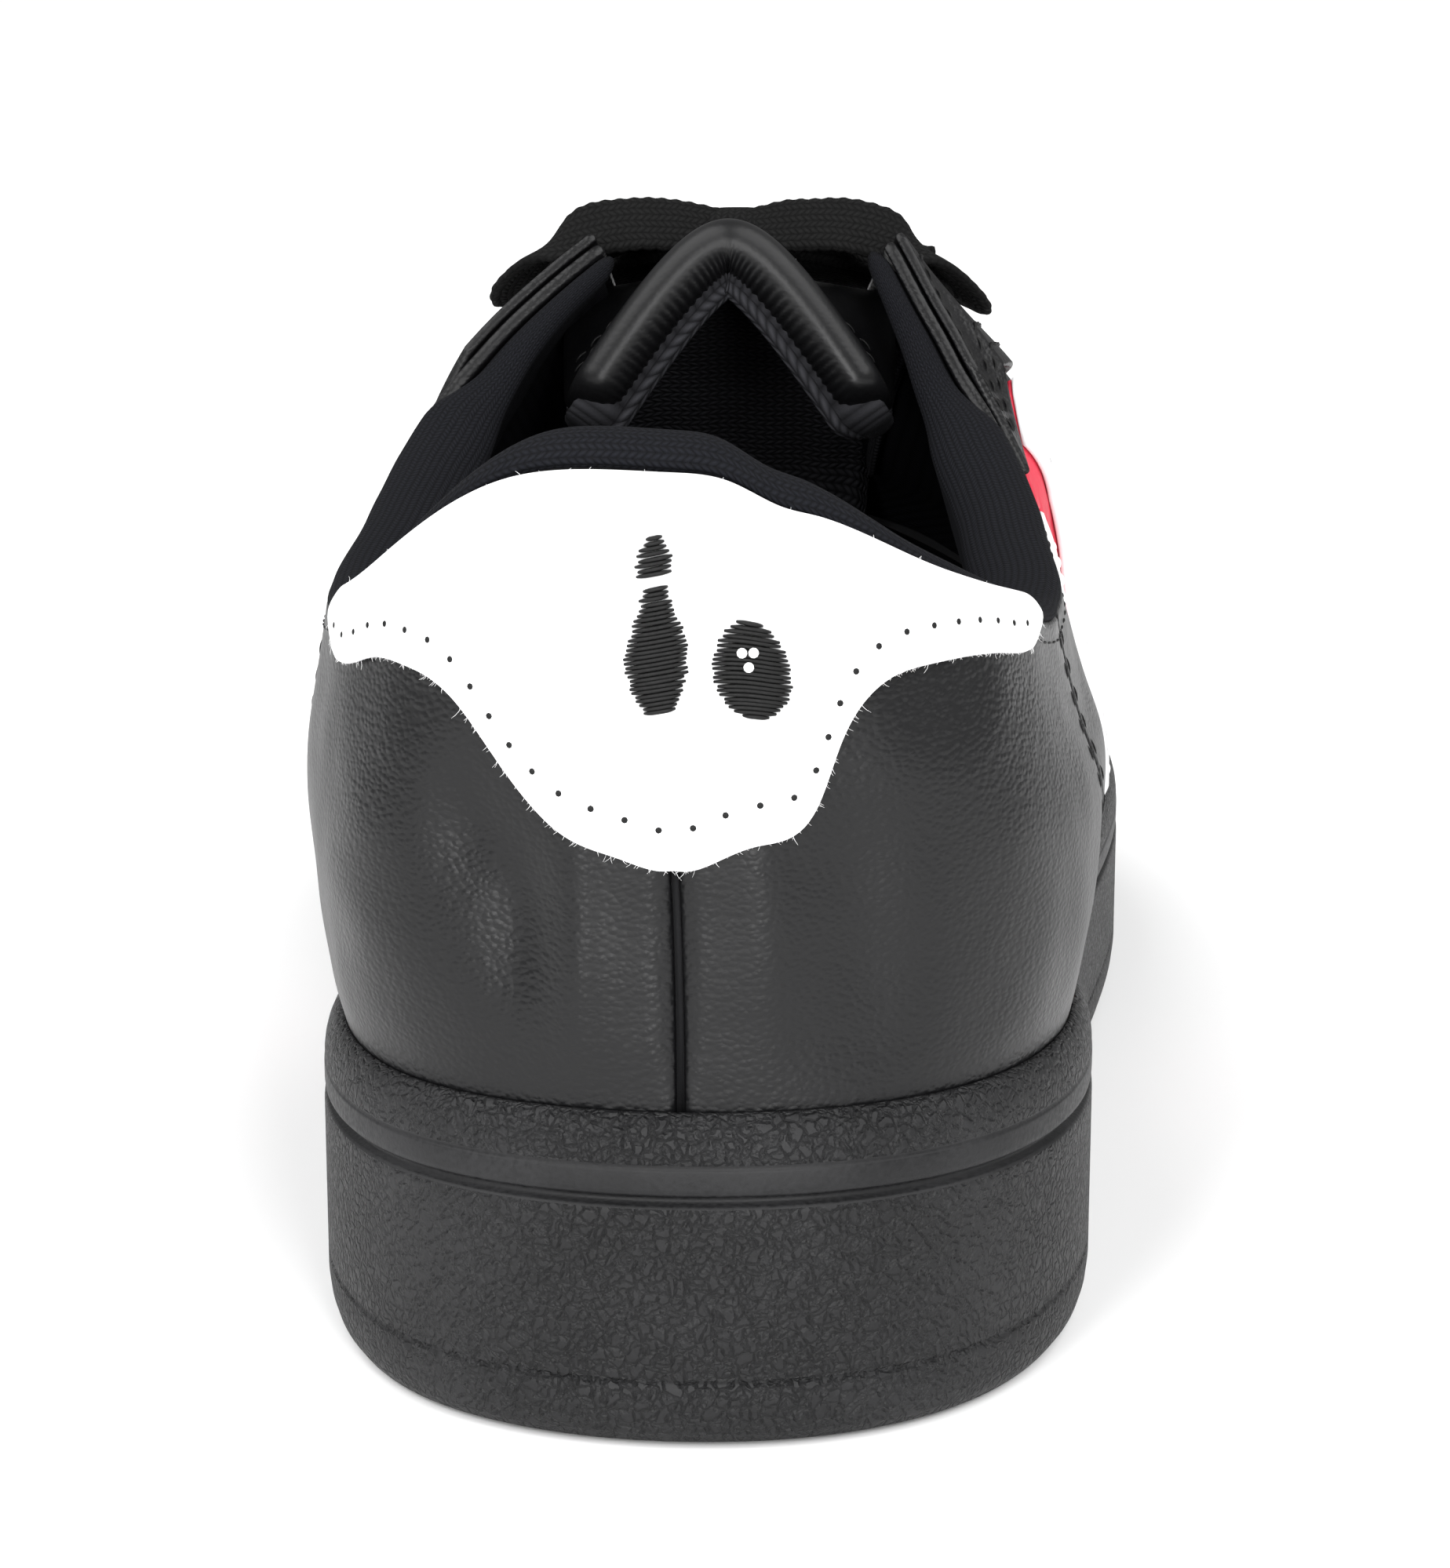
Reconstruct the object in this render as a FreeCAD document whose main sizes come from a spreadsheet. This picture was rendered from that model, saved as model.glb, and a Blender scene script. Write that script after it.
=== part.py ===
import FreeCAD, Part
import math
import os
from FreeCAD import Vector

# A low-cut bowling shoe for the right foot. Millimetres; +Y points to the toe, +X to the outer
# (lateral) side and +Z up. The origin is on the ground, in the middle of the sole's plan.

doc = FreeCAD.newDocument("bowling_shoe")
sheet = doc.addObject("Spreadsheet::Sheet", "Dimensions")
driving = {
    "sole_length": 300.0, "sole_width": 110.4, "collar_height": 95.0,
    "tread_thickness": 6.0, "sole_blank": 48.0, "lip_wall": 2.2, "groove_width": 1.2, "groove_depth": 0.8,
    "groove_below_lip": 8.5, "filler_below_lip": 13.0, "board_thickness": 2.0, "sock_thickness": 3.6,
    "board_inset": 9.4, "sock_inset": 9.0, "tread_slot_depth": 1.5, "tread_slot_width": 2.4,
    "leather_thickness": 1.6, "overlay_thickness": 1.2, "lining_thickness": 1.1, "layer_gap": 0.3,
    "collar_foam": 6.0, "tongue_foam": 4.0,
    "lace_width": 7.5, "lace_thickness": 1.4, "lace_tube": 3.2, "eyelet_hole": 4.6,
    "aglet_length": 16.0, "aglet_size": 3.6,
}
for row, (name, value) in enumerate(driving.items(), start=1):
    sheet.set("A%d" % row, name)
    sheet.set("B%d" % row, str(value))
    sheet.setAlias("B%d" % row, name)
doc.recompute()
size = {name: float(sheet.get(name)) for name in driving}

# The hand-picked points below are for a 300 mm sole, 110.4 wide, with a 95 mm collar.
stretchX = size["sole_width"] / 110.4
stretchY = size["sole_length"] / 300.0
stretchZ = size["collar_height"] / 95.0
gap = size["layer_gap"]
leather = size["leather_thickness"]
lining = size["lining_thickness"]
overlay = size["overlay_thickness"]


def spline(knots, values, period=None):
    """A cubic spline through the values, natural at its ends or periodic."""
    count = len(knots)
    bend = [0.0] * count

    def span(i, j):
        width = knots[j] - knots[i]
        return width + period if period and width <= 0 else width

    for _ in range(80):
        for i in range(count):
            if not period and i in (0, count - 1):
                continue
            before, after = (i - 1) % count, (i + 1) % count
            low, high = span(before, i), span(i, after)
            slope = (values[after] - values[i]) / high - (values[i] - values[before]) / low
            bend[i] = (6 * slope - low * bend[before] - high * bend[after]) / (2 * (low + high))

    def value(at):
        if period:
            at = (at - knots[0]) % period + knots[0]
        i = count - 1 if period else count - 2
        for k in range(count - 1):
            if at <= knots[k + 1]:
                i = k
                break
        j = (i + 1) % count
        width = span(i, j)
        a = (knots[i] + width - at) / width
        b = 1 - a
        bent = ((a ** 3 - a) * bend[i] + (b ** 3 - b) * bend[j]) * width * width / 6
        return a * values[i] + b * values[j] + bent

    return value


def curve(rows, scale, period=None):
    """Splines through rows of (station, value, value, ...), each value stretched by its scale."""
    knots = [row[0] for row in rows]
    parts = [spline(knots, [row[k + 1] * scale[k] for row in rows], period) for k in range(len(scale))]
    return lambda at: [part(at) for part in parts]


def scaled(x, y, z):
    return Vector(x * stretchX, y * stretchY, z * stretchZ)


# ---- the sole's plan and side view ----
# Stations run round the sole: 0 at the heel, 5 at the outer waist, 10 at the toe, 15 at the arch.
outline = curve([
    (0, 3, -150), (1, 29, -140), (2, 41.9, -112), (3, 42.8, -75), (4, 45, -40), (5, 50.8, -5),
    (6, 55.2, 30), (7, 54.2, 66), (8, 43.8, 102), (9, 21.5, 135.5), (10, -8, 150), (11, -33, 139),
    (12, -47.5, 112), (13, -54.6, 78), (14, -54.2, 45), (15, -46, 10), (16, -38.2, -25),
    (17, -36.4, -65), (18, -37.8, -105), (19, -25.5, -139)], (stretchX, stretchY), 20)
lip = spline([y * stretchY for y in (-150, -95, -40, 20, 70, 115, 150)], [32.5, 31.2, 29.6, 29, 29.6, 32, 36.5])
springStart, springRise = 62 * stretchY, 9.0
toeEnd = 150 * stretchY


def ground(y):
    """The underside: flat to the ball of the foot, then a parabola up to the toe."""
    return 0.0 if y < springStart else springRise * ((y - springStart) / (toeEnd - springStart)) ** 2


def planPoint(station, inset):
    """A point of the plan moved inwards by inset, with the outward direction there."""
    step = 0.02
    x, y = outline(station % 20)
    ahead, behind = outline((station + step) % 20), outline((station - step) % 20)
    alongX, alongY = ahead[0] - behind[0], ahead[1] - behind[1]
    length = math.hypot(alongX, alongY)
    outX, outY = alongY / length, -alongX / length
    return x - outX * inset, y - outY * inset, outX, outY


# ---- the upper: a family of cubic arcs from the sole's lip to the top line ----
collarLine = curve([
    (-4, -13.5, -41.5, 105.5), (-3.55, -28.5, -53.5, 92.5), (-3, -35.2, -76, 81.5), (-2.5, -36.6, -97, 76.2),
    (-2, -34.6, -114, 76.3), (-1.5, -29.5, -129, 80.3), (-1, -22, -138.6, 88.2), (-0.5, -12, -144.5, 94.6),
    (0, 1, -146, 95), (0.22, 6.2, -145.8, 94.1), (0.41, 10.6, -145.2, 91.7), (0.56, 13.8, -144.3, 90.6),
    (0.75, 17.9, -142.7, 88.6), (1, 23, -139.5, 85.4), (1.5, 31, -129, 80),
    (2, 36.3, -115, 75.7), (2.5, 38.3, -98, 75), (3, 37.6, -77, 80), (3.55, 31, -53, 91),
    (4, 20.5, -41.5, 105.5)], (stretchX, stretchY, stretchZ))
throatLateral = curve([
    (4, 20.5, -41.5, 105.5), (4.5, 19, -24, 99.5), (5, 17, -5, 91), (5.5, 13.5, 15, 80.5),
    (5.8, 9, 26.5, 75), (6, -1, 34, 71.5)], (stretchX, stretchY, stretchZ))
throatMedial = curve([
    (4, -13.5, -41.5, 105.5), (4.5, -13.5, -24, 99.5), (5, -12.8, -5, 91), (5.5, -11, 15, 80.5),
    (5.8, -8, 26.5, 75), (6, -1, 34, 71.5)], (stretchX, stretchY, stretchZ))
ridge = curve([(6, -1, 34, 71.5), (7, -4, 64, 63.3), (8, -7, 96, 55.5)], (stretchX, stretchY, stretchZ))
# For each station: lower handle, its lean outwards, upper handle, its heading in degrees, and how
# far it dips below level in degrees on the outer and on the inner side.
handles = [
    (0, 30, 0.03, 26, -90, 84, 84), (1, 28, 0.10, 24, -60, 84, 84), (2, 25, 0.24, 19, -15, 83, 83),
    (3, 27, 0.20, 22, 0, 76, 74), (3.6, 30, 0.12, 24, 0, 68, 58), (4, 34, 0.07, 26, 0, 60, 49),
    (5, 30, 0.05, 24, 0, 36, 40), (6, 27, 0.08, 25, 0, 8, 8), (7, 22, 0.14, 24, 0, 1, 1),
    (8, 19, 0.20, 22, 0, 0, 0), (9, 16, 0.24, 23, 45, 9, 9), (10, 15, 0.25, 26, 90, 13, 13)]
turnRate = 18
handleRows = [(k, low, lean, high, heading - turnRate * k, dip) for k, low, lean, high, heading, dip, _ in handles]
handleRows += [(20 - k, low, lean, high, 180 - heading - turnRate * (20 - k), dip)
               for k, low, lean, high, heading, _, dip in handles[-2:0:-1]]
handle = curve(handleRows, (1, 1, 1, 1, 1), 20)
rimInset, rimBelowLip = 2.6, 1.0


def topLine(station):
    reach = abs(station)
    if reach <= 4:
        return Vector(*collarLine(station))
    if reach <= 6:
        return Vector(*(throatLateral if station > 0 else throatMedial)(reach))
    return Vector(*ridge(min(reach, 8)))


def onUpper(station, rise):
    """A point of the leather's outer face; stations are positive outside and negative inside."""
    x, y, outX, outY = planPoint(station, rimInset)
    low, lean, high, heading, dip = handle(station % 20)
    heading, dip = math.radians(heading + turnRate * (station % 20)), math.radians(dip)
    start, end = Vector(x, y, lip(y) - rimBelowLip), topLine(station)
    first = start + Vector(outX * lean, outY * lean, 1) * low
    last = end + Vector(math.cos(heading) * math.cos(dip), math.sin(heading) * math.cos(dip), -math.sin(dip)) * high
    u = 1 - rise
    return start * u ** 3 + first * (3 * u * u * rise) + last * (3 * u * rise * rise) + end * rise ** 3


def upperNormal(station, rise):
    step = 0.01
    across = onUpper(station + step, rise) - onUpper(station - step, rise)
    upward = onUpper(station, rise + step) - onUpper(station, rise - step)
    return across.cross(upward).normalize()


def offUpper(station, rise, out):
    return onUpper(station, rise) + upperNormal(station, rise) * out


def onToe(across, along, out):
    """The toe as a half disc: across -1 to 1, along 0 at the cap's seam to 1 at the tip."""
    flat = across * math.sqrt(1 - along * along)
    reach = max(math.hypot(flat, along), 0.02)
    station = 8 + 4 * math.atan2(along, flat) / math.pi
    rise = 1 - reach * (1 - feetRise(station))
    return offUpper(station if station <= 10 else station - 20, rise, out)


featherClear = 0.2


def feetRise(station):
    """How far the arc runs on below the lip, into the cup, to just above the insole board."""
    run = (size["filler_below_lip"] - size["board_thickness"] - featherClear) / (3 * handle(station % 20)[0])
    return -run / (1 + 2 * run)


# ---- helpers that make solids ----
pieces = []


def keep(item, label):
    item.Label = label
    pieces.append(item)
    return item


def feature(label, shape):
    item = doc.addObject("Part::Feature", label)
    item.Shape = shape
    item.Placement = FreeCAD.Placement()
    return keep(item, label)


def steps(low, high, count):
    return [low + (high - low) * k / (count - 1.0) for k in range(count)]


def sheetSolid(outer, inner):
    """A solid between two grids of points with the same rows and columns."""
    faces = []
    for grid in (outer, inner):
        surface = Part.BSplineSurface()
        surface.interpolate(grid)
        faces.append(surface.toShape())
    walls = [Part.makeRuledSurface(a, b, 1) for a, b in zip(faces[0].Edges, faces[1].Edges)]
    shell = Part.makeShell(faces + walls)
    shell.sewShape()
    solid = Part.Solid(Part.Shell(shell.Faces))
    if solid.Volume < 0:
        solid.reverse()
    return solid


def panel(stations, lowRise, highRise, out, inside, rows=9):
    """A leather or cloth layer on the upper: its outer face lies out, its inner face inside."""
    def grid(offset):
        made = []
        for station in stations:
            low, high = lowRise(station), highRise(station)
            made.append([offUpper(station, rise, offset) for rise in steps(low, high, rows)])
        return made
    return sheetSolid(grid(out), grid(inside))


def planCurve(inset):
    count = 40
    points = [Vector(*planPoint(20.0 * k / count, inset)[:2], 0) for k in range(count)]
    closed = Part.BSplineCurve()
    closed.interpolate(points, PeriodicFlag=True)
    return closed


def slab(label, inset, low, high):
    """A body with the plan's outline, trimmed in side view between two lines."""
    body = doc.addObject("PartDesign::Body", label)
    planes = {item.Role: item for item in body.Origin.OriginFeatures}
    plan = body.newObject("Sketcher::SketchObject", label + "_plan")
    plan.AttachmentSupport = [(planes["XY_Plane"], "")]
    plan.MapMode = "FlatFace"
    plan.addGeometry(planCurve(inset))
    pad = body.newObject("PartDesign::Pad", label + "_pad")
    pad.Profile = plan
    pad.setExpression("Length", "Dimensions.sole_blank")
    side = body.newObject("Sketcher::SketchObject", label + "_side")
    side.AttachmentSupport = [(planes["YZ_Plane"], "")]
    side.MapMode = "FlatFace"
    reach, beyond = toeEnd + 5, 60
    for line, far in ((low, -10), (high, beyond)):
        first, last = Vector(-reach, line(-reach), 0), Vector(reach, line(reach), 0)
        edges, bendStart = [], -reach
        if abs(line(-reach) - line(springStart)) < 1e-6:
            bendStart = springStart
            edges.append(Part.LineSegment(first, Vector(bendStart, line(bendStart), 0)))
        bend = Part.BSplineCurve()
        bend.interpolate([Vector(y, line(y), 0) for y in steps(bendStart, reach, 16)])
        corners = [last, Vector(reach, far, 0), Vector(-reach, far, 0), first]
        side.addGeometry(edges + [bend] + [Part.LineSegment(a, b) for a, b in zip(corners, corners[1:])])
    trim = body.newObject("PartDesign::Pocket", label + "_trim")
    trim.Profile = side
    trim.Type = "ThroughAll"
    trim.Midplane = True
    return body


def cut(label, base, tool):
    item = doc.addObject("Part::Cut", label)
    item.Base, item.Tool = base, tool
    return item


# ---- sole unit ----
def below(distance):
    return lambda y: lip(y) - distance


def outsole():
    blank = slab("sole_blank_body", 0, ground, lip)
    cavity = slab("sole_cavity", size["lip_wall"], lambda y: ground(y) + size["tread_thickness"], lambda y: 46.0)
    cup = cut("cup", blank, cavity)
    bottom = size["groove_below_lip"]
    ring = cut("groove_ring", slab("groove_outer", -1, below(bottom), below(bottom - size["groove_width"])),
               slab("groove_inner", size["groove_depth"], below(bottom + 1), below(bottom - size["groove_width"] - 1)))
    grooved = cut("grooved_cup", cup, ring)
    slots = doc.addObject("PartDesign::Body", "tread_slots")
    planes = {item.Role: item for item in slots.Origin.OriginFeatures}
    for name, first, count, halfWidth, pitch in (("ball", 12, 9, 30, 9.5), ("heel", -126, 6, 20, 9.5)):
        sketch = slots.newObject("Sketcher::SketchObject", name + "_slot")
        sketch.AttachmentSupport = [(planes["XY_Plane"], "")]
        sketch.MapMode = "FlatFace"
        width = size["tread_slot_width"]
        for k in range(count):
            near = (first + k * pitch) * stretchY
            corners = [(-halfWidth, near), (halfWidth, near), (halfWidth, near + width), (-halfWidth, near + width)]
            points = [Vector(x, y, 0) for x, y in corners + corners[:1]]
            sketch.addGeometry([Part.LineSegment(a, b) for a, b in zip(points, points[1:])])
        pad = slots.newObject("PartDesign::Pad", name + "_slots")
        pad.Profile = sketch
        pad.setExpression("Length", "Dimensions.tread_slot_depth")
    return keep(cut("outsole_cut", grooved, slots), "outsole")


def soleLayers():
    filler, board, sock = size["filler_below_lip"], size["board_thickness"], size["sock_thickness"]
    keep(slab("filler_body", size["lip_wall"] + 0.3, lambda y: ground(y) + size["tread_thickness"] + 0.05,
              below(filler)), "midsole_filler")
    keep(slab("board_body", size["board_inset"], below(filler - 0.1), below(filler - 0.1 - board)), "insole_board")
    top = filler - 0.2 - board
    keep(slab("sock_body", size["sock_inset"], below(top), below(top - sock)), "sockliner")


outsole()
soleLayers()

# ---- leather panels ----
backSeam, sideSeam, vampSeam, toeSeam, seamHalf = -0.038, 2.35, 6.0, 8.0, 0.02
edgeRise = 0.945
sides = ((1, "lateral"), (-1, "medial"))


def ease(x):
    x = min(1.0, max(0.0, x))
    return x * x * (3 - 2 * x)


def constant(value):
    return lambda station: value


def leatherTop(station):
    """Leather stops short of the padded collar's roll and reaches the edge along the throat."""
    return edgeRise + (1 - edgeRise) * ease((abs(station) - 3.5) / 0.45)


def between(side, near, far, count):
    return steps(*sorted((side * near, side * far)), count)


def crossGrid(seamA, seamB, out, count=9):
    """Rows over the instep from the outer feather edge to the inner one."""
    rows = []
    for station in steps(seamA, seamB, count):
        outerHalf = [offUpper(station, rise, out) for rise in steps(feetRise(station), 0.999, 11)]
        innerHalf = [offUpper(-station, rise, out) for rise in steps(feetRise(-station), 0.999, 11)]
        rows.append(outerHalf + innerHalf[-2::-1])
    return rows


def toeGrid(first, last, out, foot=0.0):
    return [[onToe(across, along, out) for across in steps(-1 + foot, 1 - foot, 21)]
            for along in steps(first, last, 9)]


def upperPanels():
    for side, name in sides:
        ends = sorted((backSeam + side * seamHalf, side * (sideSeam - seamHalf)))
        feature("heel_panel_" + name, panel(steps(*ends, 17), feetRise, leatherTop, 0, -leather, 13))
        stations = between(side, sideSeam + seamHalf, vampSeam - seamHalf, 49)
        feature("quarter_" + name, panel(stations, feetRise, leatherTop, 0, -leather, 17))
    ends = (vampSeam + seamHalf, toeSeam - seamHalf)
    feature("vamp", sheetSolid(crossGrid(*ends, 0), crossGrid(*ends, -leather)))
    feature("toe_cap", sheetSolid(toeGrid(0.012, 0.955, 0), toeGrid(0.012, 0.955, -leather)))


# ---- heel tab, its embroidered badge, side stripes and eyestays ----
tabFoot = curve([
    (-1.66, 0.90), (-1.5, 0.84), (-1.2, 0.80), (-0.97, 0.74), (-0.7, 0.62), (-0.54, 0.49), (-0.4, 0.41),
    (-0.2, 0.36), (-0.03, 0.338), (0.23, 0.39), (0.46, 0.475), (0.57, 0.6), (0.7, 0.705), (0.96, 0.80),
    (1.36, 0.86), (1.6, 0.885), (1.72, 0.92)], (1,))
tabTop = curve([(-1.66, 0.97), (-1.3, 0.955), (-0.8, 0.944), (0, 0.944), (0.8, 0.95), (1.4, 0.962), (1.72, 0.975)], (1,))
tabOut = gap + overlay
pinHalf = curve([(0, 0.045), (0.12, 0.075), (0.36, 0.10), (0.62, 0.055), (0.72, 0.042), (0.86, 0.058), (1, 0.02)], (1,))
pinFoot, pinHead, pinStation, badgeThick = 0.60, 0.87, -0.05, 0.6
ballHigh, ballStation, ballTall, ballWide = 0.69, 0.27, 0.08, 0.135


def heelTrim():
    feature("heel_tab", panel(steps(-1.66, 1.72, 35), lambda s: tabFoot(s)[0], lambda s: tabTop(s)[0], tabOut, gap, 7))

    def pin(out):
        return [[offUpper(pinStation + across * pinHalf(up)[0], pinFoot + (pinHead - pinFoot) * up, out)
                 for across in steps(-1, 1, 5)] for up in steps(0, 1, 15)]

    def ball(out):
        rows = []
        for up in steps(-1, 1, 13):
            half = ballWide * max(0.2, math.sqrt(1 - up * up))
            rows.append([offUpper(ballStation + across * half, ballHigh + ballTall * up, out) for across in steps(-1, 1, 7)])
        return rows
    low, high = tabOut + gap, tabOut + gap + badgeThick
    feature("heel_badge", Part.makeCompound([sheetSolid(form(high), form(low)) for form in (pin, ball)]))


def stripe(side, nearTop, farTop, nearFoot, farFoot, high, low, out, inside):
    """A strip that runs from the top line down and forward to the sole."""
    def grid(offset):
        rows = []
        for rise in steps(low, high, 23):
            part = (rise - low) / (high - low)
            near = nearFoot + (nearTop - nearFoot) * part
            far = farFoot + (farTop - farFoot) * part
            rows.append([offUpper(station, rise, offset) for station in between(side, near, far, 11)])
        return rows
    return sheetSolid(grid(out), grid(inside))


stripeFoot, stripeHead = 0.03, 0.73
backingOut, bandOut = gap + 0.6, 3 * gap + 0.6 + 0.9


def sideStripes():
    for side, name in sides:
        feature("band_backing_" + name, stripe(side, 3.62, 4.62, 4.35, 5.35, stripeHead, stripeFoot, backingOut, gap))
        feature("side_band_front_" + name,
                stripe(side, 3.72, 4.6, 4.45, 5.33, stripeHead, stripeFoot, bandOut, backingOut + 2 * gap))
        feature("side_band_rear_" + name, stripe(side, 3.38, 3.58, 4.11, 4.31, stripeHead, stripeFoot, tabOut, gap))


eyestayFoot, eyeletRise, eyeletCount = 0.76, 0.90, 6
eyeletStations = steps(4.35, 5.72, eyeletCount)


def eyestays():
    for side, name in sides:
        plate = panel(between(side, 3.66, vampSeam - 0.06, 49), constant(eyestayFoot), leatherTop, tabOut, gap, 9)
        holes = []
        for station in eyeletStations:
            foot = offUpper(side * station, eyeletRise, -0.5)
            along = upperNormal(side * station, eyeletRise)
            holes.append(Part.makeCylinder(size["eyelet_hole"] / 2, 3.5, foot, along))
        feature("eyestay_" + name, plate.cut(Part.makeCompound(holes)).Solids[0])


# ---- stiffeners, linings and the padded collar ----
skin = leather + gap
foamFoot, foamTop, collarEnd = 0.50, 0.93, 3.46
thinnestFoam = 0.3


def foamDepth(station, rise):
    fatness = 0.2 + 0.8 * ease((rise - foamFoot) / 0.3)
    return size["collar_foam"] * fatness * (0.15 + 0.85 * ease((3.5 - abs(station)) / 0.8))


def collarDepth(station, rise):
    return skin + foamDepth(station, rise) + gap


def depthPanel(stations, lowRise, highRise, outDepth, inDepth, rows=9):
    def grid(depth):
        made = []
        for station in stations:
            low, high = lowRise(station), highRise(station)
            made.append([offUpper(station, rise, -depth(station, rise)) for rise in steps(low, high, rows)])
        return made
    return sheetSolid(grid(outDepth), grid(inDepth))


def liningDepth(station, rise):
    return skin + (1.0 + gap) * ease((2.9 - abs(station)) / 0.5)


def liningTop(station):
    return 0.46 + 0.515 * ease((abs(station) - 3.3) / 0.55)


def linings():
    feature("heel_counter", panel(steps(-2.2, 2.2, 25), lambda s: feetRise(s) + 0.01, constant(0.46), -skin, -skin - 1))
    thick = lining
    for side, name in sides:
        feature("quarter_lining_" + name, depthPanel(
            between(side, 0.03, vampSeam - seamHalf, 47), lambda s: feetRise(s) + 0.015, liningTop,
            liningDepth, lambda s, r: liningDepth(s, r) + thick, 13))
    inner = -skin - lining
    ends = (vampSeam + seamHalf, toeSeam - seamHalf)
    feature("vamp_lining", sheetSolid(crossGrid(*ends, -skin), crossGrid(*ends, inner)))
    feature("toe_puff", sheetSolid(toeGrid(0.012, 0.93, -skin, 0.03), toeGrid(0.012, 0.93, inner, 0.03)))


def collar():
    stations = steps(-collarEnd + 0.15, collarEnd - 0.15, 41)
    feature("collar_padding", depthPanel(
        stations, constant(foamFoot + 0.05), constant(foamTop), lambda s, r: skin,
        lambda s, r: skin + max(thinnestFoam, foamDepth(s, r) - 3 * gap), 13))

    def roll(station, shrink):
        base = edgeRise + 0.016
        rim = offUpper(station, base, 0)
        outward = upperNormal(station, base)
        rising = onUpper(station, 1.0) - onUpper(station, base)
        height = rising.Length
        rising.normalize()
        across = collarDepth(station, base) + lining
        half = (across - 2 * shrink) / 2
        centre = rim - outward * (across / 2)
        path = [offUpper(station, base - 0.004, -shrink)]
        for angle in range(0, 181, 20):
            turn = math.radians(angle)
            path.append(centre + outward * (half * math.cos(turn)) + rising * ((height - shrink) * math.sin(turn)))
        low = max(foamFoot, liningTop(station) + 0.04)
        for rise in steps(base - 0.03, low, 12):
            path.append(offUpper(station, rise, shrink - collarDepth(station, rise) - lining))
        return path

    stations = steps(-collarEnd, collarEnd, 45)
    feature("collar_lining", sheetSolid([roll(s, 0) for s in stations], [roll(s, lining) for s in stations]))


# ---- tongue ----
tongueFoot, tongueHead = scaled(-0.5, 33, 65.4), scaled(2.5, -54.5, 110.2)
tongueAngle = math.radians(78)


def onTongue(across, along, out):
    """Across -1 inside to 1 outside, along 0 at the sewn foot to 1 at the top edge."""
    step = 0.01

    def face(a, b):
        centre = tongueFoot + (tongueHead - tongueFoot) * b + Vector(0, 0, 6 * math.sin(math.pi * b))
        half, drop = 19 + 2.5 * b, 9 + 15 * b
        turn = a * tongueAngle
        side = math.sin(turn) / math.sin(tongueAngle)
        crown = 0.85 - 0.45 * b
        fall = (math.hypot(side, crown) - crown) / (math.hypot(1, crown) - crown)
        return centre + Vector(half * side, 0, -drop * fall)
    lengthways = face(across, along - step) - face(across, along + step)
    crossways = face(across + step, along) - face(across - step, along)
    return face(across, along) + crossways.cross(lengthways).normalize() * out


def tongueLayer(label, out, inside, reach, head):
    def grid(offset):
        return [[onTongue(across, along, offset) for across in steps(-reach, reach, 13)]
                for along in steps(0.0, head, 13)]
    feature(label, sheetSolid(grid(out), grid(inside)))


def tongue():
    cover, foam = 1.0, size["tongue_foam"]
    tongueLayer("tongue_outer", 0, -cover, 1, 1.0)
    tongueLayer("tongue_foam", -cover - 0.1, -cover - foam + 0.1, 0.9, 0.975)
    tongueLayer("tongue_lining", -cover - foam, -2 * cover - foam, 1, 0.99)


# ---- laces ----
def lacePath(route, diameter, label):
    """Straight runs joined by tangent arcs; each arc is as large as its two runs allow."""
    edges, last, radii = [], route[0], []
    for k in range(1, len(route) - 1):
        before, here, after = route[k - 1], route[k], route[k + 1]
        inward, outward = (here - before).normalize(), (after - here).normalize()
        turn = inward.getAngle(outward)
        shorter = min((here - before).Length, (after - here).Length)
        setback = 0.45 * shorter
        radii.append(setback / math.tan(turn / 2))
        start, end = here - inward * setback, here + outward * setback
        bow = (outward - inward).normalize()
        centre = here + bow * (radii[-1] / math.cos(turn / 2))
        edges.append(Part.LineSegment(last, start).toShape())
        edges.append(Part.Arc(start, centre - bow * radii[-1], end).toShape())
        last = end
    edges.append(Part.LineSegment(last, route[-1]).toShape())
    wire = Part.Wire(edges)
    circle = Part.Circle(route[0], route[1] - route[0], diameter / 2)
    tube = wire.makePipeShell([Part.Wire(circle.toShape())], True, True)
    expected = math.pi * diameter ** 2 / 4 * wire.Length
    print("%s length %.1f, tightest radius %.1f, volume %.3f of section times length" % (
        label, wire.Length, min(radii), tube.Volume / expected))
    return tube


loopLateral = [(3.2, -33, 107.4), (10, -34.6, 108.2), (17, -35, 108.2), (23.5, -34, 106), (28.8, -31, 102),
               (31.2, -26, 98.6), (28.6, -21, 99.6), (20.5, -21, 104), (12, -25, 106.6), (4.5, -28.5, 107.2)]
loopMedial = [(0.8, -33, 107.4), (-6, -34.6, 108.3), (-12.5, -35, 108.1), (-18.5, -34, 106.4), (-23.4, -31, 102.8),
              (-25.4, -26, 99.6), (-22.8, -21, 100), (-15.5, -21, 104), (-8, -25, 106.6), (-0.6, -28.5, 107.2)]
tailLateral = [(4.2, -24.2, 107.4), (9.5, -21.5, 107), (15.5, -17.5, 105.5), (21, -13, 102), (24.6, -7, 96.5),
               (25.6, 0, 91), (27, 8, 85), (30, 14.5, 79)]
tailMedial = [(-0.2, -24.2, 107.4), (-5, -21.5, 107), (-10.5, -17.5, 105.4), (-16, -13, 102), (-19.8, -7, 96.4),
              (-21.4, 0, 90.8), (-23.4, 8.5, 85), (-26.8, 15.5, 79)]


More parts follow.
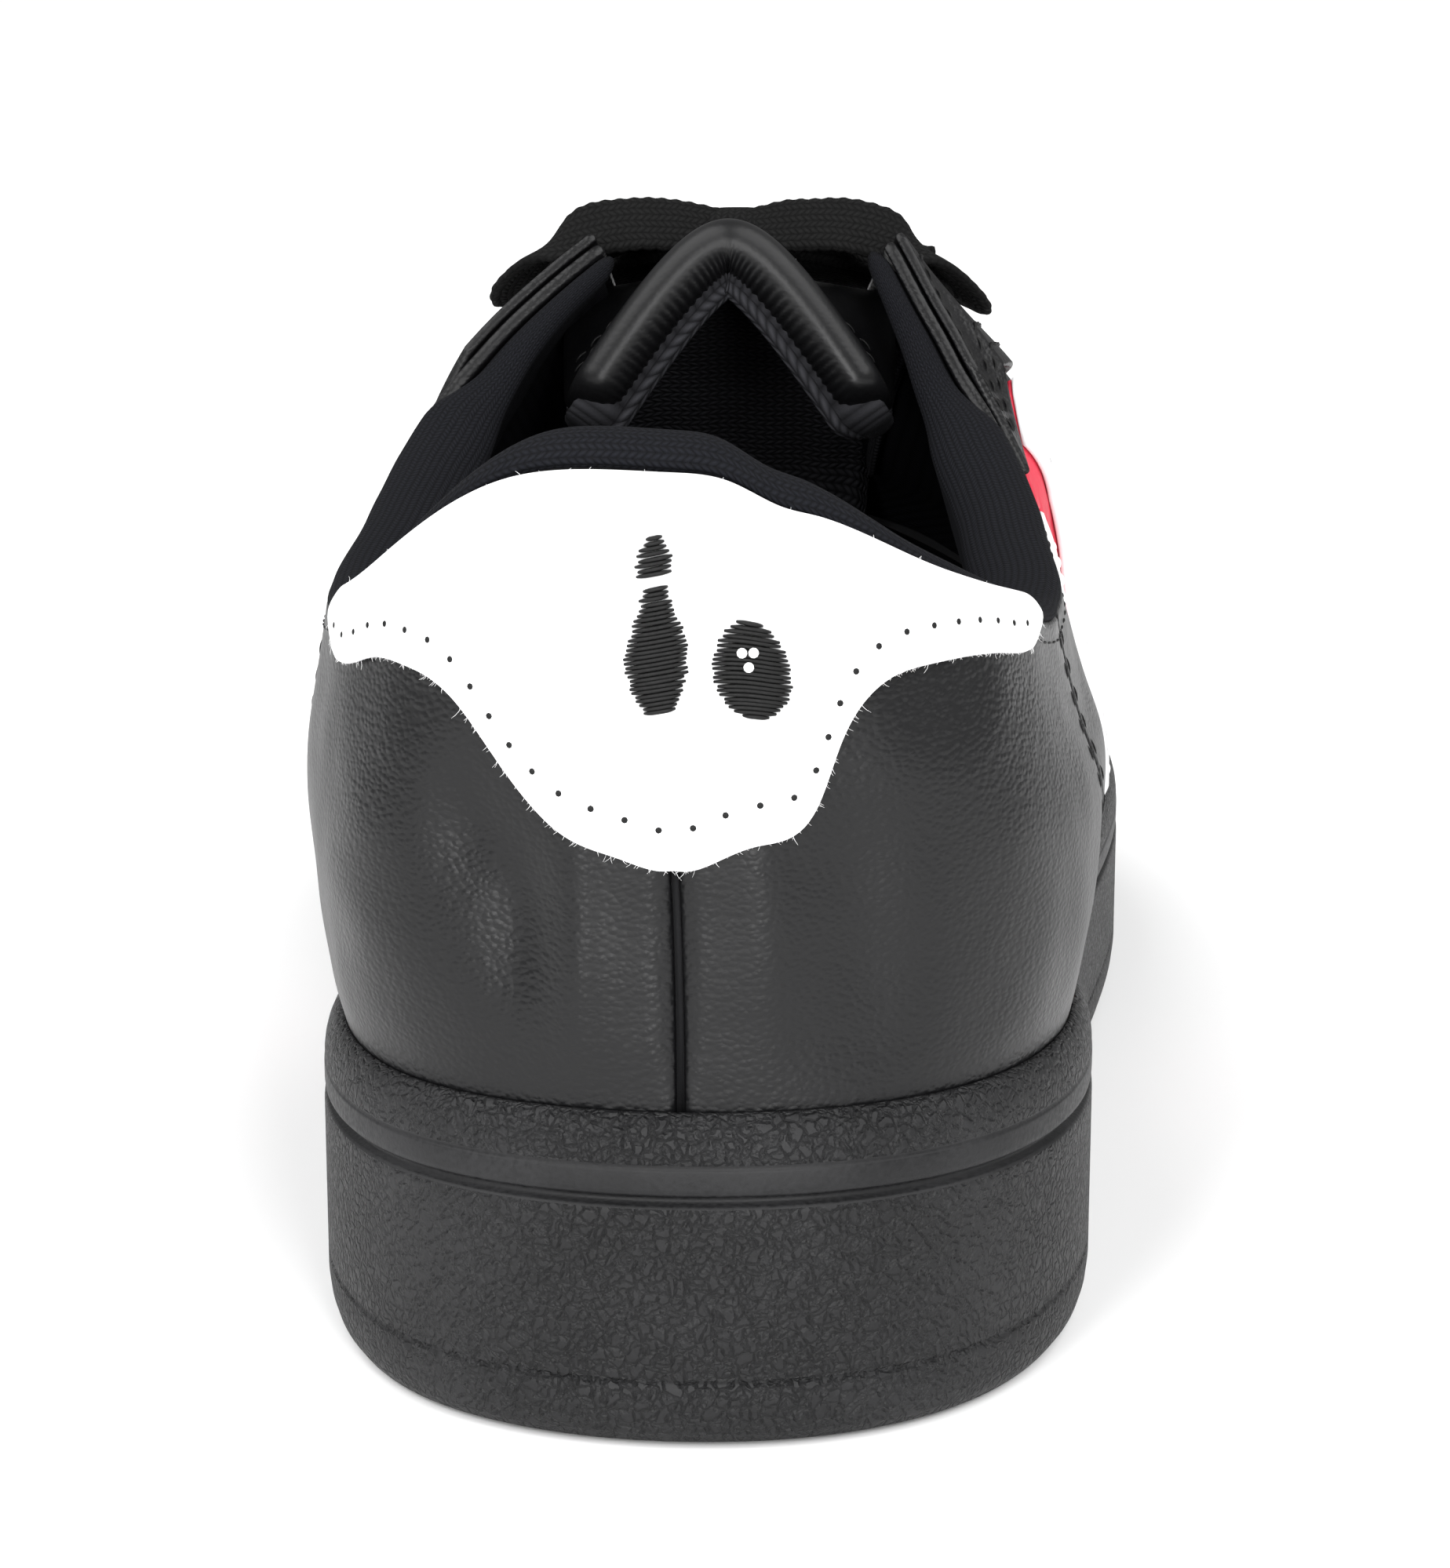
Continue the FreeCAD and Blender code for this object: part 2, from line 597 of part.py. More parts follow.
def laceBars():
    thick, width = size["lace_thickness"], size["lace_width"]
    lift = tabOut + 2 * gap + thick / 2
    bars = []
    for station in eyeletStations:
        halves = []
        for side in (1, -1):
            at = side * station
            halves.append([offUpper(at, rise, lift) for rise in (eyeletRise, 0.93, 0.96, 0.99)])
        outer, inner = halves
        top = max(outer[-1].z, inner[-1].z) + 0.5
        middle = [outer[-1] + (inner[-1] - outer[-1]) * k for k in (0.25, 0.5, 0.75)]
        middle = [Vector(p.x, p.y, top) for p in middle]
        path = outer + middle + inner[::-1]
        ahead = (offUpper(station + 0.1, eyeletRise, 0) - offUpper(station - 0.1, eyeletRise, 0)
                 + offUpper(-station - 0.1, eyeletRise, 0) - offUpper(0.1 - station, eyeletRise, 0)).normalize()

        def grid(offset):
            rows = []
            for k, point in enumerate(path):
                along = path[min(k + 1, len(path) - 1)] - path[max(k - 1, 0)]
                normal = ahead.cross(along).normalize()
                if normal.z < 0:
                    normal = normal * -1
                rows.append([point + ahead * (width * part) + normal * offset for part in (-0.5, -0.25, 0, 0.25, 0.5)])
            return rows
        bars.append(sheetSolid(grid(thick / 2), grid(-thick / 2)))
    feature("lace_bars", Part.makeCompound(bars))


def bow():
    knot = doc.addObject("Part::Box", "knot_block")
    for side, cells, factor in (("Length", "lace_width", 0.93), ("Width", "lace_width", 1.33),
                                ("Height", "lace_thickness", 3)):
        knot.setExpression(side, "Dimensions.%s * %s" % (cells, factor))
    doc.recompute()
    knot.Placement.Base = scaled(2, -30, 107.3) - Vector(knot.Length / 2, knot.Width / 2, knot.Height / 2)
    rounded = doc.addObject("Part::Fillet", "knot_rounded")
    rounded.Base = knot
    doc.recompute()
    rounded.Edges = [(k + 1, 1.2, 1.2) for k in range(len(knot.Shape.Edges))]
    keep(rounded, "lace_knot")
    tube = size["lace_tube"]
    for label, route in (("lace_loop_lateral", loopLateral), ("lace_loop_medial", loopMedial),
                         ("lace_tail_lateral", tailLateral), ("lace_tail_medial", tailMedial)):
        feature(label, lacePath([scaled(*point) for point in route], tube, label))
    for name, route in (("lateral", tailLateral), ("medial", tailMedial)):
        last = scaled(*route[-1])
        along = (last - scaled(*route[-2])).normalize()
        place = FreeCAD.Placement(last, FreeCAD.Rotation(Vector(0, 0, 1), along))
        tip = doc.addObject("Part::Cylinder", "aglet_" + name)
        tip.setExpression("Radius", "Dimensions.aglet_size / 2")
        tip.setExpression("Height", "Dimensions.aglet_length")
        tip.Placement = place
        keep(tip, "aglet_" + name)


upperPanels()
heelTrim()
sideStripes()
eyestays()
linings()
collar()
tongue()
laceBars()
bow()

doc.recompute()


def bad(item):
    return "Invalid" in item.State or "Error" in item.State


for item in doc.Objects:
    if bad(item):
        raise SystemExit("%s failed: %s" % (item.Label, item.State))
os.makedirs("parts", exist_ok=True)
for item in pieces:
    shape = item.Shape
    if shape.isNull() or not shape.isValid():
        raise SystemExit("%s has no valid shape" % item.Label)
    box = shape.BoundBox
    print("%-22s %9.0f mm3  solids %d  x %.1f %.1f  y %.1f %.1f  z %.1f %.1f" % (
        item.Label, shape.Volume, len(shape.Solids), box.XMin, box.XMax, box.YMin, box.YMax, box.ZMin, box.ZMax))
    shape.exportStep("parts/%s.step" % item.Label)
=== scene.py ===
import bpy
import bmesh
import math
import random
import numpy as np
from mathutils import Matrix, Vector, noise


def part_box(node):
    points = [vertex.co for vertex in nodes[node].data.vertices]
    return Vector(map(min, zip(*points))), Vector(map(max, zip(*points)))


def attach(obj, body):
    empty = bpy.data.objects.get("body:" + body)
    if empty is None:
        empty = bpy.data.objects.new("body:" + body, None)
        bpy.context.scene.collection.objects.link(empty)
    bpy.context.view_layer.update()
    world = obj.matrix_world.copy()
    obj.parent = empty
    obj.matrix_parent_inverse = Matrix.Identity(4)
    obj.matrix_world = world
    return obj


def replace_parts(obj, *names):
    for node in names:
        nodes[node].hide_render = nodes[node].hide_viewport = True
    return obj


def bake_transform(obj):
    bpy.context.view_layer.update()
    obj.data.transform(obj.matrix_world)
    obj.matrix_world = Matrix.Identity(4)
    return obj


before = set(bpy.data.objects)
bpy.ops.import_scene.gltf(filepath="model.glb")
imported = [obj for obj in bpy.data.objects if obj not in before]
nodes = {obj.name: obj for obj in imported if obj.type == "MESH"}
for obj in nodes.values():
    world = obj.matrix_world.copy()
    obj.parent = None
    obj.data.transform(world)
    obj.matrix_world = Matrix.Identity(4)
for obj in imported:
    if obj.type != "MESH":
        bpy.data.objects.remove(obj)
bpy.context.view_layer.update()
soleLow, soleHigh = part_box("outsole")
mm = (soleHigh[1] - soleLow[1]) / 300.006     # the sole is 300.006 mm long, so everything keeps to its size

cameraLook = {"target": (3.6, -90, 51), "distance": 355, "elevation": 12.1, "yaw": -2.4, "lens": 75.6}


def makeCamera():
    look = cameraLook
    up, yaw = math.radians(look["elevation"]), math.radians(look["yaw"])
    ahead = Vector((math.sin(yaw) * math.cos(up), math.cos(yaw) * math.cos(up), -math.sin(up)))
    camera = bpy.data.objects.new("camera", bpy.data.cameras.new("camera"))
    camera.data.lens = look["lens"]
    camera.data.sensor_width = 36
    camera.data.clip_start = 0.01
    camera.location = Vector(look["target"]) * mm - ahead * look["distance"] * mm
    camera.rotation_mode = "QUATERNION"
    camera.rotation_quaternion = ahead.to_track_quat("-Z", "Y")
    bpy.context.scene.collection.objects.link(camera)
    bpy.context.scene.camera = camera
    print("camera placed")


# soft suns light the floor evenly; the strips near the camera draw the sheen on the leather
studioSuns = {"keyLeft": {"azimuth": -74, "height": 50, "strength": 2.3, "angle": 60},
              "keyRight": {"azimuth": 74, "height": 50, "strength": 2.3, "angle": 60}}
studioStrips = {"stripLeft": {"at": (-250, -760, 230), "size": (0.14, 0.6), "power": 3.2},
                "stripRight": {"at": (190, -780, 200), "size": (0.12, 0.6), "power": 3.6}}
backdrop = {"glow": 0.30, "white": 1.05, "floor": 0.96, "size": 6.0}


def aimLight(item, ahead):
    item.rotation_mode = "QUATERNION"
    item.rotation_quaternion = Vector(ahead).to_track_quat("-Z", "Y")
    bpy.context.scene.collection.objects.link(item)


def makeStudio():
    scene = bpy.context.scene
    scene.view_settings.view_transform = "Standard"
    world = bpy.data.worlds.new("studio")
    scene.world = world
    world.use_nodes = True
    tree = world.node_tree
    glow = tree.nodes["Background"]
    glow.inputs["Color"].default_value = (1, 1, 1, 1)
    seen = tree.nodes.new("ShaderNodeLightPath")
    strength = tree.nodes.new("ShaderNodeMapRange")
    strength.inputs["To Min"].default_value = backdrop["glow"]
    strength.inputs["To Max"].default_value = backdrop["white"]
    tree.links.new(seen.outputs["Is Camera Ray"], strength.inputs["Value"])
    tree.links.new(strength.outputs["Result"], glow.inputs["Strength"])
    for name, sun in studioSuns.items():
        lamp = bpy.data.lights.new(name, "SUN")
        lamp.energy, lamp.angle = sun["strength"], math.radians(sun["angle"])
        turn, high = math.radians(sun["azimuth"]), math.radians(sun["height"])
        aimLight(bpy.data.objects.new(name, lamp),
                 (-math.sin(turn) * math.cos(high), math.cos(turn) * math.cos(high), -math.sin(high)))
    for name, box in studioStrips.items():
        lamp = bpy.data.lights.new(name, "AREA")
        lamp.shape = "RECTANGLE"
        lamp.size, lamp.size_y = box["size"]
        lamp.energy = box["power"]
        item = bpy.data.objects.new(name, lamp)
        item.location = Vector(box["at"]) * mm
        aimLight(item, Vector((0, -60, 45)) * mm - item.location)
    half = backdrop["size"] / 2
    mesh = bpy.data.meshes.new("floor")
    mesh.from_pydata([(-half, -half, 0), (half, -half, 0), (half, half, 0), (-half, half, 0)], [],
                     [(0, 1, 2, 3)])
    floor = bpy.data.objects.new("floor", mesh)
    scene.collection.objects.link(floor)
    paint = bpy.data.materials.new("floorPaint")
    paint.use_nodes = True
    shade = paint.node_tree.nodes["Principled BSDF"]
    shade.inputs["Base Color"].default_value = (*[backdrop["floor"]] * 3, 1)
    shade.inputs["Roughness"].default_value = 0.7
    shade.inputs["Specular IOR Level"].default_value = 0.1
    mesh.materials.append(paint)
    print("studio lit")


# rows of (station, value, ...)
def splineThrough(rows, period=None):
    table = np.array(rows, float)
    knots, values = table[:, 0], table[:, 1:]
    n = len(knots)
    matrix, right = np.zeros((n, n)), np.zeros((n, values.shape[1]))
    for i in range(n):
        if not period and i in (0, n - 1):
            matrix[i, i] = 1
            continue
        a, b = (i - 1) % n, (i + 1) % n
        low = (knots[i] - knots[a]) % period if period else knots[i] - knots[a]
        high = (knots[b] - knots[i]) % period if period else knots[b] - knots[i]
        matrix[i, a] += low
        matrix[i, i] += 2 * (low + high)
        matrix[i, b] += high
        right[i] = 6 * ((values[b] - values[i]) / high - (values[i] - values[a]) / low)
    bend = np.linalg.solve(matrix, right)

    def at(t):
        t = np.asarray(t, float)
        if period:
            t = (t - knots[0]) % period + knots[0]
        i = np.clip(np.searchsorted(knots, t, side="left") - 1, 0, n - 1 if period else n - 2)
        j = (i + 1) % n
        width = knots[j] - knots[i]
        if period:
            width = np.where(width <= 0, width + period, width)
        a = ((knots[i] + width - t) / width)[..., None]
        b = 1 - a
        wide = width[..., None]
        return (a * values[i] + b * values[j]
                + ((a ** 3 - a) * bend[i] + (b ** 3 - b) * bend[j]) * wide * wide / 6)
    return at


outline = splineThrough([
    (0, 3, -150), (1, 29, -140), (2, 41.9, -112), (3, 42.8, -75), (4, 45, -40), (5, 50.8, -5),
    (6, 55.2, 30), (7, 54.2, 66), (8, 43.8, 102), (9, 21.5, 135.5), (10, -8, 150), (11, -33, 139),
    (12, -47.5, 112), (13, -54.6, 78), (14, -54.2, 45), (15, -46, 10), (16, -38.2, -25),
    (17, -36.4, -65), (18, -37.8, -105), (19, -25.5, -139)], 20)
lipLine = splineThrough([(-150, 32.5), (-95, 31.2), (-40, 29.6), (20, 29), (70, 29.6), (115, 32),
                         (150, 36.5)])
collarLine = splineThrough([
    (-4, -13.5, -41.5, 105.5), (-3.55, -28.5, -53.5, 92.5), (-3, -35.2, -76, 81.5), (-2.5, -36.6, -97, 76.2),
    (-2, -34.6, -114, 76.3), (-1.5, -29.5, -129, 80.3), (-1, -22, -138.6, 88.2), (-0.5, -12, -144.5, 94.6),
    (0, 1, -146, 95), (0.22, 6.2, -145.8, 94.1), (0.41, 10.6, -145.2, 91.7), (0.56, 13.8, -144.3, 90.6),
    (0.75, 17.9, -142.7, 88.6), (1, 23, -139.5, 85.4), (1.5, 31, -129, 80),
    (2, 36.3, -115, 75.7), (2.5, 38.3, -98, 75), (3, 37.6, -77, 80), (3.55, 31, -53, 91),
    (4, 20.5, -41.5, 105.5)])
throatLateral = splineThrough([
    (4, 20.5, -41.5, 105.5), (4.5, 19, -24, 99.5), (5, 17, -5, 91), (5.5, 13.5, 15, 80.5),
    (5.8, 9, 26.5, 75), (6, -1, 34, 71.5)])
throatMedial = splineThrough([
    (4, -13.5, -41.5, 105.5), (4.5, -13.5, -24, 99.5), (5, -12.8, -5, 91), (5.5, -11, 15, 80.5),
    (5.8, -8, 26.5, 75), (6, -1, 34, 71.5)])
ridgeLine = splineThrough([(6, -1, 34, 71.5), (7, -4, 64, 63.3), (8, -7, 96, 55.5)])
# station, lower handle, lean, upper handle, heading, dip outside, dip inside
archHandles = [
    (0, 30, 0.03, 26, -90, 84, 84), (1, 28, 0.10, 24, -60, 84, 84), (2, 25, 0.24, 19, -15, 83, 83),
    (3, 27, 0.20, 22, 0, 76, 74), (3.6, 30, 0.12, 24, 0, 68, 58), (4, 34, 0.07, 26, 0, 60, 49),
    (5, 30, 0.05, 24, 0, 36, 40), (6, 27, 0.08, 25, 0, 8, 8), (7, 22, 0.14, 24, 0, 1, 1),
    (8, 19, 0.20, 22, 0, 0, 0), (9, 16, 0.24, 23, 45, 9, 9), (10, 15, 0.25, 26, 90, 13, 13)]
turnRate = 18
archRows = [(k, low, lean, high, heading - turnRate * k, dip)
            for k, low, lean, high, heading, dip, _ in archHandles]
archRows += [(20 - k, low, lean, high, 180 - heading - turnRate * (20 - k), dip)
             for k, low, lean, high, heading, _, dip in archHandles[-2:0:-1]]
arch = splineThrough(archRows, 20)
sole = {"rimInset": 2.6, "rimBelowLip": 1.0, "springStart": 62, "springRise": 9.0, "toe": 150}


def lip(y):
    return lipLine(y)[..., 0]


def ground(y):
    along = np.clip((y - sole["springStart"]) / (sole["toe"] - sole["springStart"]), 0, 2)
    return sole["springRise"] * along ** 2


def planPoint(station, inset):
    step = 0.02
    here, ahead, behind = outline(station), outline(station + step), outline(station - step)
    along = ahead - behind
    along /= np.linalg.norm(along, axis=-1, keepdims=True)
    outward = np.stack([along[..., 1], -along[..., 0]], -1)
    return here - outward * np.asarray(inset)[..., None], outward


def topLine(station):
    reach = np.abs(station)
    throat = np.where((station > 0)[..., None], throatLateral(np.clip(reach, 4, 6)),
                      throatMedial(np.clip(reach, 4, 6)))
    made = np.where((reach <= 4)[..., None], collarLine(np.clip(station, -4, 4)), throat)
    return np.where((reach > 6)[..., None], ridgeLine(np.clip(reach, 6, 8)), made)


def onUpper(station, rise):
    station, rise = np.broadcast_arrays(np.asarray(station, float), np.asarray(rise, float))
    plan, outward = planPoint(station, np.full(station.shape, sole["rimInset"]))
    low, lean, high, heading, dip = np.moveaxis(arch(station % 20), -1, 0)
    heading, dip = np.radians(heading + turnRate * (station % 20)), np.radians(dip)
    start = np.concatenate([plan, (lip(plan[..., 1]) - sole["rimBelowLip"])[..., None]], -1)
    first = start + np.concatenate([outward * lean[..., None],
                                    np.ones(station.shape + (1,))], -1) * low[..., None]
    end = topLine(station)
    swing = np.stack([np.cos(heading) * np.cos(dip), np.sin(heading) * np.cos(dip), -np.sin(dip)], -1)
    last = end + swing * high[..., None]
    v = rise[..., None]
    u = 1 - v
    return start * u ** 3 + first * (3 * u * u * v) + last * (3 * u * v * v) + end * v ** 3


def unit(v):
    return v / np.maximum(np.linalg.norm(v, axis=-1, keepdims=True), 1e-9)


def upperNormal(station, rise):
    step = 0.01
    across = onUpper(station + step, rise) - onUpper(station - step, rise)
    upward = onUpper(station, rise + step) - onUpper(station, rise - step)
    return unit(np.cross(across, upward))


def feet(station):
    return -10.8 / (3 * arch(np.asarray(station, float) % 20)[..., 0])


def ease(x):
    x = np.clip(x, 0, 1)
    return x * x * (3 - 2 * x)


# points in mm, smooth noise about 0 with features about scale mm across
def softNoise(points, scale, seed=0.0):
    flat = points.reshape(-1, 3) / scale + seed
    return np.array([noise.noise(p) for p in flat.tolist()]).reshape(points.shape[:-1])


# soft dents and swells of the leather, in mm: station, rise, half width in station and rise, height
leatherSwells = [(-0.74, 0.40, 0.16, 0.14, -1.5), (-0.56, 0.26, 0.14, 0.14, -1.3),
                 (-0.33, 0.22, 0.12, 0.24, 1.2), (-1.15, 0.34, 0.34, 0.28, 1.2),
                 (0.22, 0.26, 0.13, 0.20, 0.9), (0.60, 0.28, 0.20, 0.24, -1.2),
                 (1.35, 0.45, 0.35, 0.3, 0.9), (2.7, 0.46, 0.5, 0.2, 1.6), (-2.7, 0.5, 0.5, 0.24, 1.0),
                 (4.25, 0.70, 0.45, 0.24, 7.0), (-4.1, 0.78, 0.6, 0.26, 1.5)]
leatherCreases = {"wide": 24.0, "height": 0.8, "fine": 8.0, "fineHeight": 0.2}
seamFold = {"depth": 0.9, "wide": 0.035, "roll": 0.3, "rollAt": 0.11, "rollWide": 0.06}


def relief(station, rise, points):
    lift = leatherCreases["height"] * softNoise(points, leatherCreases["wide"], 3.7)
    lift = lift + leatherCreases["fineHeight"] * softNoise(points, leatherCreases["fine"], 9.1)
    for s0, r0, ws, wr, height in leatherSwells:
        lift = lift + height * np.exp(-((station - s0) / ws) ** 2 - ((rise - r0) / wr) ** 2)
    fold, reach = seamFold, np.abs(station + 0.038)
    seam = (fold["roll"] * np.exp(-((reach - fold["rollAt"]) / fold["rollWide"]) ** 2)
            - fold["depth"] * np.exp(-(reach / fold["wide"]) ** 2))
    lift = lift + seam * ease((0.42 - rise) / 0.1)
    return lift * ease((rise + 0.02) / 0.12)


# a point on the upper in mm, out mm above the leather's face, with the leather's own unevenness
def skin(station, rise, out):
    station, rise = np.broadcast_arrays(np.asarray(station, float), np.asarray(rise, float))
    base = onUpper(station, rise)
    lift = relief(station, rise, base) + out
    return base + upperNormal(station, rise) * lift[..., None]


def toeStation(across, along):
    flat = across * np.sqrt(1 - along * along)
    reach = np.maximum(np.hypot(flat, along), 0.02)
    station = 8 + 4 * np.arctan2(along, flat) / math.pi
    rise = 1 - reach * (1 - feet(station))
    return np.where(station <= 10, station, station - 20), rise


# points in mm
def meshObject(name, points, faces, body, material, smooth=True, uvs=None):
    mesh = bpy.data.meshes.new(name)
    mesh.from_pydata((np.asarray(points, float).reshape(-1, 3) * mm).tolist(), [], faces)
    mesh.validate()
    if uvs is not None:
        layer = mesh.uv_layers.new(name="weave")
        flat = np.asarray(uvs, float).reshape(-1, 2)
        loops = np.zeros(len(mesh.loops), int)
        mesh.loops.foreach_get("vertex_index", loops)
        layer.data.foreach_set("uv", flat[loops].ravel())
    mesh.polygons.foreach_set("use_smooth", [smooth] * len(mesh.polygons))
    mesh.materials.append(material)
    item = bpy.data.objects.new(name, mesh)
    bpy.context.scene.collection.objects.link(item)
    if body:
        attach(item, body)
    return item


def gridFaces(rows, columns, start=0, closeRows=False, closeColumns=False, flip=False):
    faces = []
    for i in range(rows if closeRows else rows - 1):
        for j in range(columns if closeColumns else columns - 1):
            a, b = start + i * columns + j, start + i * columns + (j + 1) % columns
            c, d = (start + ((i + 1) % rows) * columns + (j + 1) % columns,
                    start + ((i + 1) % rows) * columns + j)
            faces.append((a, d, c, b) if flip else (a, b, c, d))
    return faces


def borderIndex(rows, columns):
    top = [(0, j) for j in range(columns)]
    right = [(i, columns - 1) for i in range(1, rows)]
    bottom = [(rows - 1, j) for j in range(columns - 2, -1, -1)]
    left = [(i, 0) for i in range(rows - 2, 0, -1)]
    return top + right + bottom + left


# a closed sheet between two grids of points, its cut edge rounded; returns points and faces
def sheetMesh(outer, inner, edgeSteps=3):
    rows, columns = outer.shape[:2]
    border = borderIndex(rows, columns)
    outEdge = np.array([outer[i, j] for i, j in border])
    inEdge = np.array([inner[i, j] for i, j in border])
    middle = (outer + inner) / 2
    inward = np.array([middle[min(max(i, 1), rows - 2), min(max(j, 1), columns - 2)] for i, j in border])
    centre, half = (outEdge + inEdge) / 2, (outEdge - inEdge) / 2
    away = centre - inward
    away -= half * (np.sum(away * half, -1, keepdims=True)
                    / np.maximum(np.sum(half * half, -1, keepdims=True), 1e-9))
    away = unit(away) * np.linalg.norm(half, axis=-1, keepdims=True)
    rings = []
    for k in range(1, edgeSteps + 1):
        turn = math.pi * k / (edgeSteps + 1)
        rings.append(centre + half * math.cos(turn) + away * math.sin(turn) * 0.8)
    count = len(border)
    points = np.concatenate([outer.reshape(-1, 3), inner.reshape(-1, 3), *rings])
    size = rows * columns
    faces = gridFaces(rows, columns, 0) + gridFaces(rows, columns, size, flip=True)
    loops = [[i * columns + j for i, j in border]]
    loops += [[2 * size + k * count + n for n in range(count)] for k in range(edgeSteps)]
    loops += [[size + i * columns + j for i, j in border]]
    for a, b in zip(loops, loops[1:]):
        faces += [(a[n], b[n], b[(n + 1) % count], a[(n + 1) % count]) for n in range(count)]
    return points, faces


def facesOutward(item):
    work = bmesh.new()
    work.from_mesh(item.data)
    bmesh.ops.recalc_face_normals(work, faces=work.faces)
    work.to_mesh(item.data)
    work.free()
    return item


def sheetPiece(name, outer, inner, body, material, edgeSteps=3):
    rows, columns = outer.shape[:2]
    points, faces = sheetMesh(outer, inner, edgeSteps)
    alongRow = np.concatenate([
        [0], np.cumsum(np.linalg.norm(np.diff(outer[:, columns // 2], axis=0), axis=-1))])
    alongColumn = np.concatenate([
        [0], np.cumsum(np.linalg.norm(np.diff(outer[rows // 2], axis=0), axis=-1))])
    flat = np.stack(np.meshgrid(alongRow, alongColumn, indexing="ij"), -1).reshape(-1, 2)
    border = [i * columns + j for i, j in borderIndex(rows, columns)]
    uvs = np.concatenate([flat, flat] + [flat[border]] * edgeSteps) * mm
    return facesOutward(meshObject(name, points, faces, body, material, uvs=uvs))


# a layer of the upper between two stations; riseLow and riseHigh are functions or numbers
def upperSheet(name, stations, riseLow, riseHigh, out, inside, rows, material, edgeSteps=3):
    low = riseLow(stations) if callable(riseLow) else np.full(stations.shape, riseLow)
    high = riseHigh(stations) if callable(riseHigh) else np.full(stations.shape, riseHigh)
    part = np.linspace(0, 1, rows)
    rise = low[:, None] + (high - low)[:, None] * part[None, :]
    station = np.repeat(stations[:, None], rows, 1)
    outDepth = out(station, rise) if callable(out) else out
    inDepth = inside(station, rise) if callable(inside) else inside
    return sheetPiece(name, skin(station, rise, outDepth), skin(station, rise, inDepth), "shoe", material,
                      edgeSteps)


def newMaterial(name, colour, roughness, specular=0.5):
    made = bpy.data.materials.new(name)
    made.use_nodes = True
    tree = made.node_tree
    shade = tree.nodes["Principled BSDF"]
    shade.inputs["Base Color"].default_value = (*colour, 1)
    shade.inputs["Roughness"].default_value = roughness
    shade.inputs["Specular IOR Level"].default_value = specular
    return made, tree, shade


def node(tree, kind, inputs=None, **settings):
    made = tree.nodes.new(kind)
    for key, value in settings.items():
        setattr(made, key, value)
    for key, value in (inputs or {}).items():
        if isinstance(value, bpy.types.NodeSocket):
            tree.links.new(value, made.inputs[key])
        else:
            made.inputs[key].default_value = value
    return made


def place(tree, scale, coordinates="Object"):
    where = node(tree, "ShaderNodeTexCoord")
    return node(tree, "ShaderNodeMapping", {
        "Vector": where.outputs[coordinates], "Scale": scale}).outputs["Vector"]


def mathNode(tree, operation, a, b=0.5, c=0.0):
    made = node(tree, "ShaderNodeMath", operation=operation)
    for k, value in enumerate((a, b, c)):
        if isinstance(value, bpy.types.NodeSocket):
            tree.links.new(value, made.inputs[k])
        else:
            made.inputs[k].default_value = value
    return made.outputs[0]


def span(tree, value, low, high, toLow, toHigh):
    return node(tree, "ShaderNodeMapRange", {
        "Value": value, "From Min": low, "From Max": high,
        "To Min": toLow, "To Max": toHigh}).outputs["Result"]


def twoColours(tree, factor, first, second):
    made = node(tree, "ShaderNodeMix", data_type="RGBA")
    tree.links.new(factor, made.inputs[0])
    made.inputs[6].default_value = (*first, 1)
    made.inputs[7].default_value = (*second, 1)
    return made.outputs[2]


def bump(tree, shade, height, distance, strength=1.0, under=None):
    made = node(tree, "ShaderNodeBump", {"Height": height, "Strength": strength, "Distance": distance})
    if under is not None:
        tree.links.new(under, made.inputs["Normal"])
    tree.links.new(made.outputs["Normal"], shade.inputs["Normal"])
    return made.outputs["Normal"]


leatherLook = {"dark": (0.0022, 0.0022, 0.0026), "light": (0.005, 0.005, 0.0055), "roughness": (0.33, 0.45),
               "grain": 1350, "grainDepth": 0.00009, "creaseDepth": 0.00003}


def leatherMaterial(name, grainStrength):
    look = leatherLook
    made, tree, shade = newMaterial(name, look["dark"], 0.42, 0.30)
    grainAt = place(tree, (look["grain"], look["grain"], look["grain"] * 1.4))
    warp = node(tree, "ShaderNodeTexNoise",
                {"Vector": place(tree, (500, 500, 500)), "Scale": 1.0, "Detail": 2.0})
    shift = node(tree, "ShaderNodeVectorMath",
                 {0: warp.outputs["Color"], 1: (0.7, 0.7, 0.7)}, operation="MULTIPLY")
    moved = node(tree, "ShaderNodeVectorMath", {0: grainAt, 1: shift.outputs[0]}, operation="ADD").outputs[0]
    cells = node(tree, "ShaderNodeTexVoronoi",
                 {"Vector": moved, "Scale": 1.0, "Smoothness": 0.35}, feature="SMOOTH_F1")
    pebble = span(tree, cells.outputs["Distance"], 0.1, 0.75, 1.0, 0.0)
    slow = node(tree, "ShaderNodeTexNoise",
                {"Vector": place(tree, (38, 38, 38)), "Scale": 1.0, "Detail": 4.0})
    patches = node(tree, "ShaderNodeTexNoise",
                   {"Vector": place(tree, (220, 220, 330)), "Scale": 1.0, "Detail": 4.0})
    rough = span(tree, slow.outputs["Fac"], 0.3, 0.7, *look["roughness"])
    tree.links.new(rough, shade.inputs["Roughness"])
    tree.links.new(twoColours(tree, slow.outputs["Fac"], look["dark"], look["light"]),
                   shade.inputs["Base Color"])
    first = bump(tree, shade, patches.outputs["Fac"], look["creaseDepth"], 0.5)
    bump(tree, shade, pebble, look["grainDepth"], grainStrength, first)
    return made


rubberLook = {"dark": (0.004, 0.004, 0.0045), "light": (0.014, 0.014, 0.015), "pebble": 880, "depth": 0.00045}


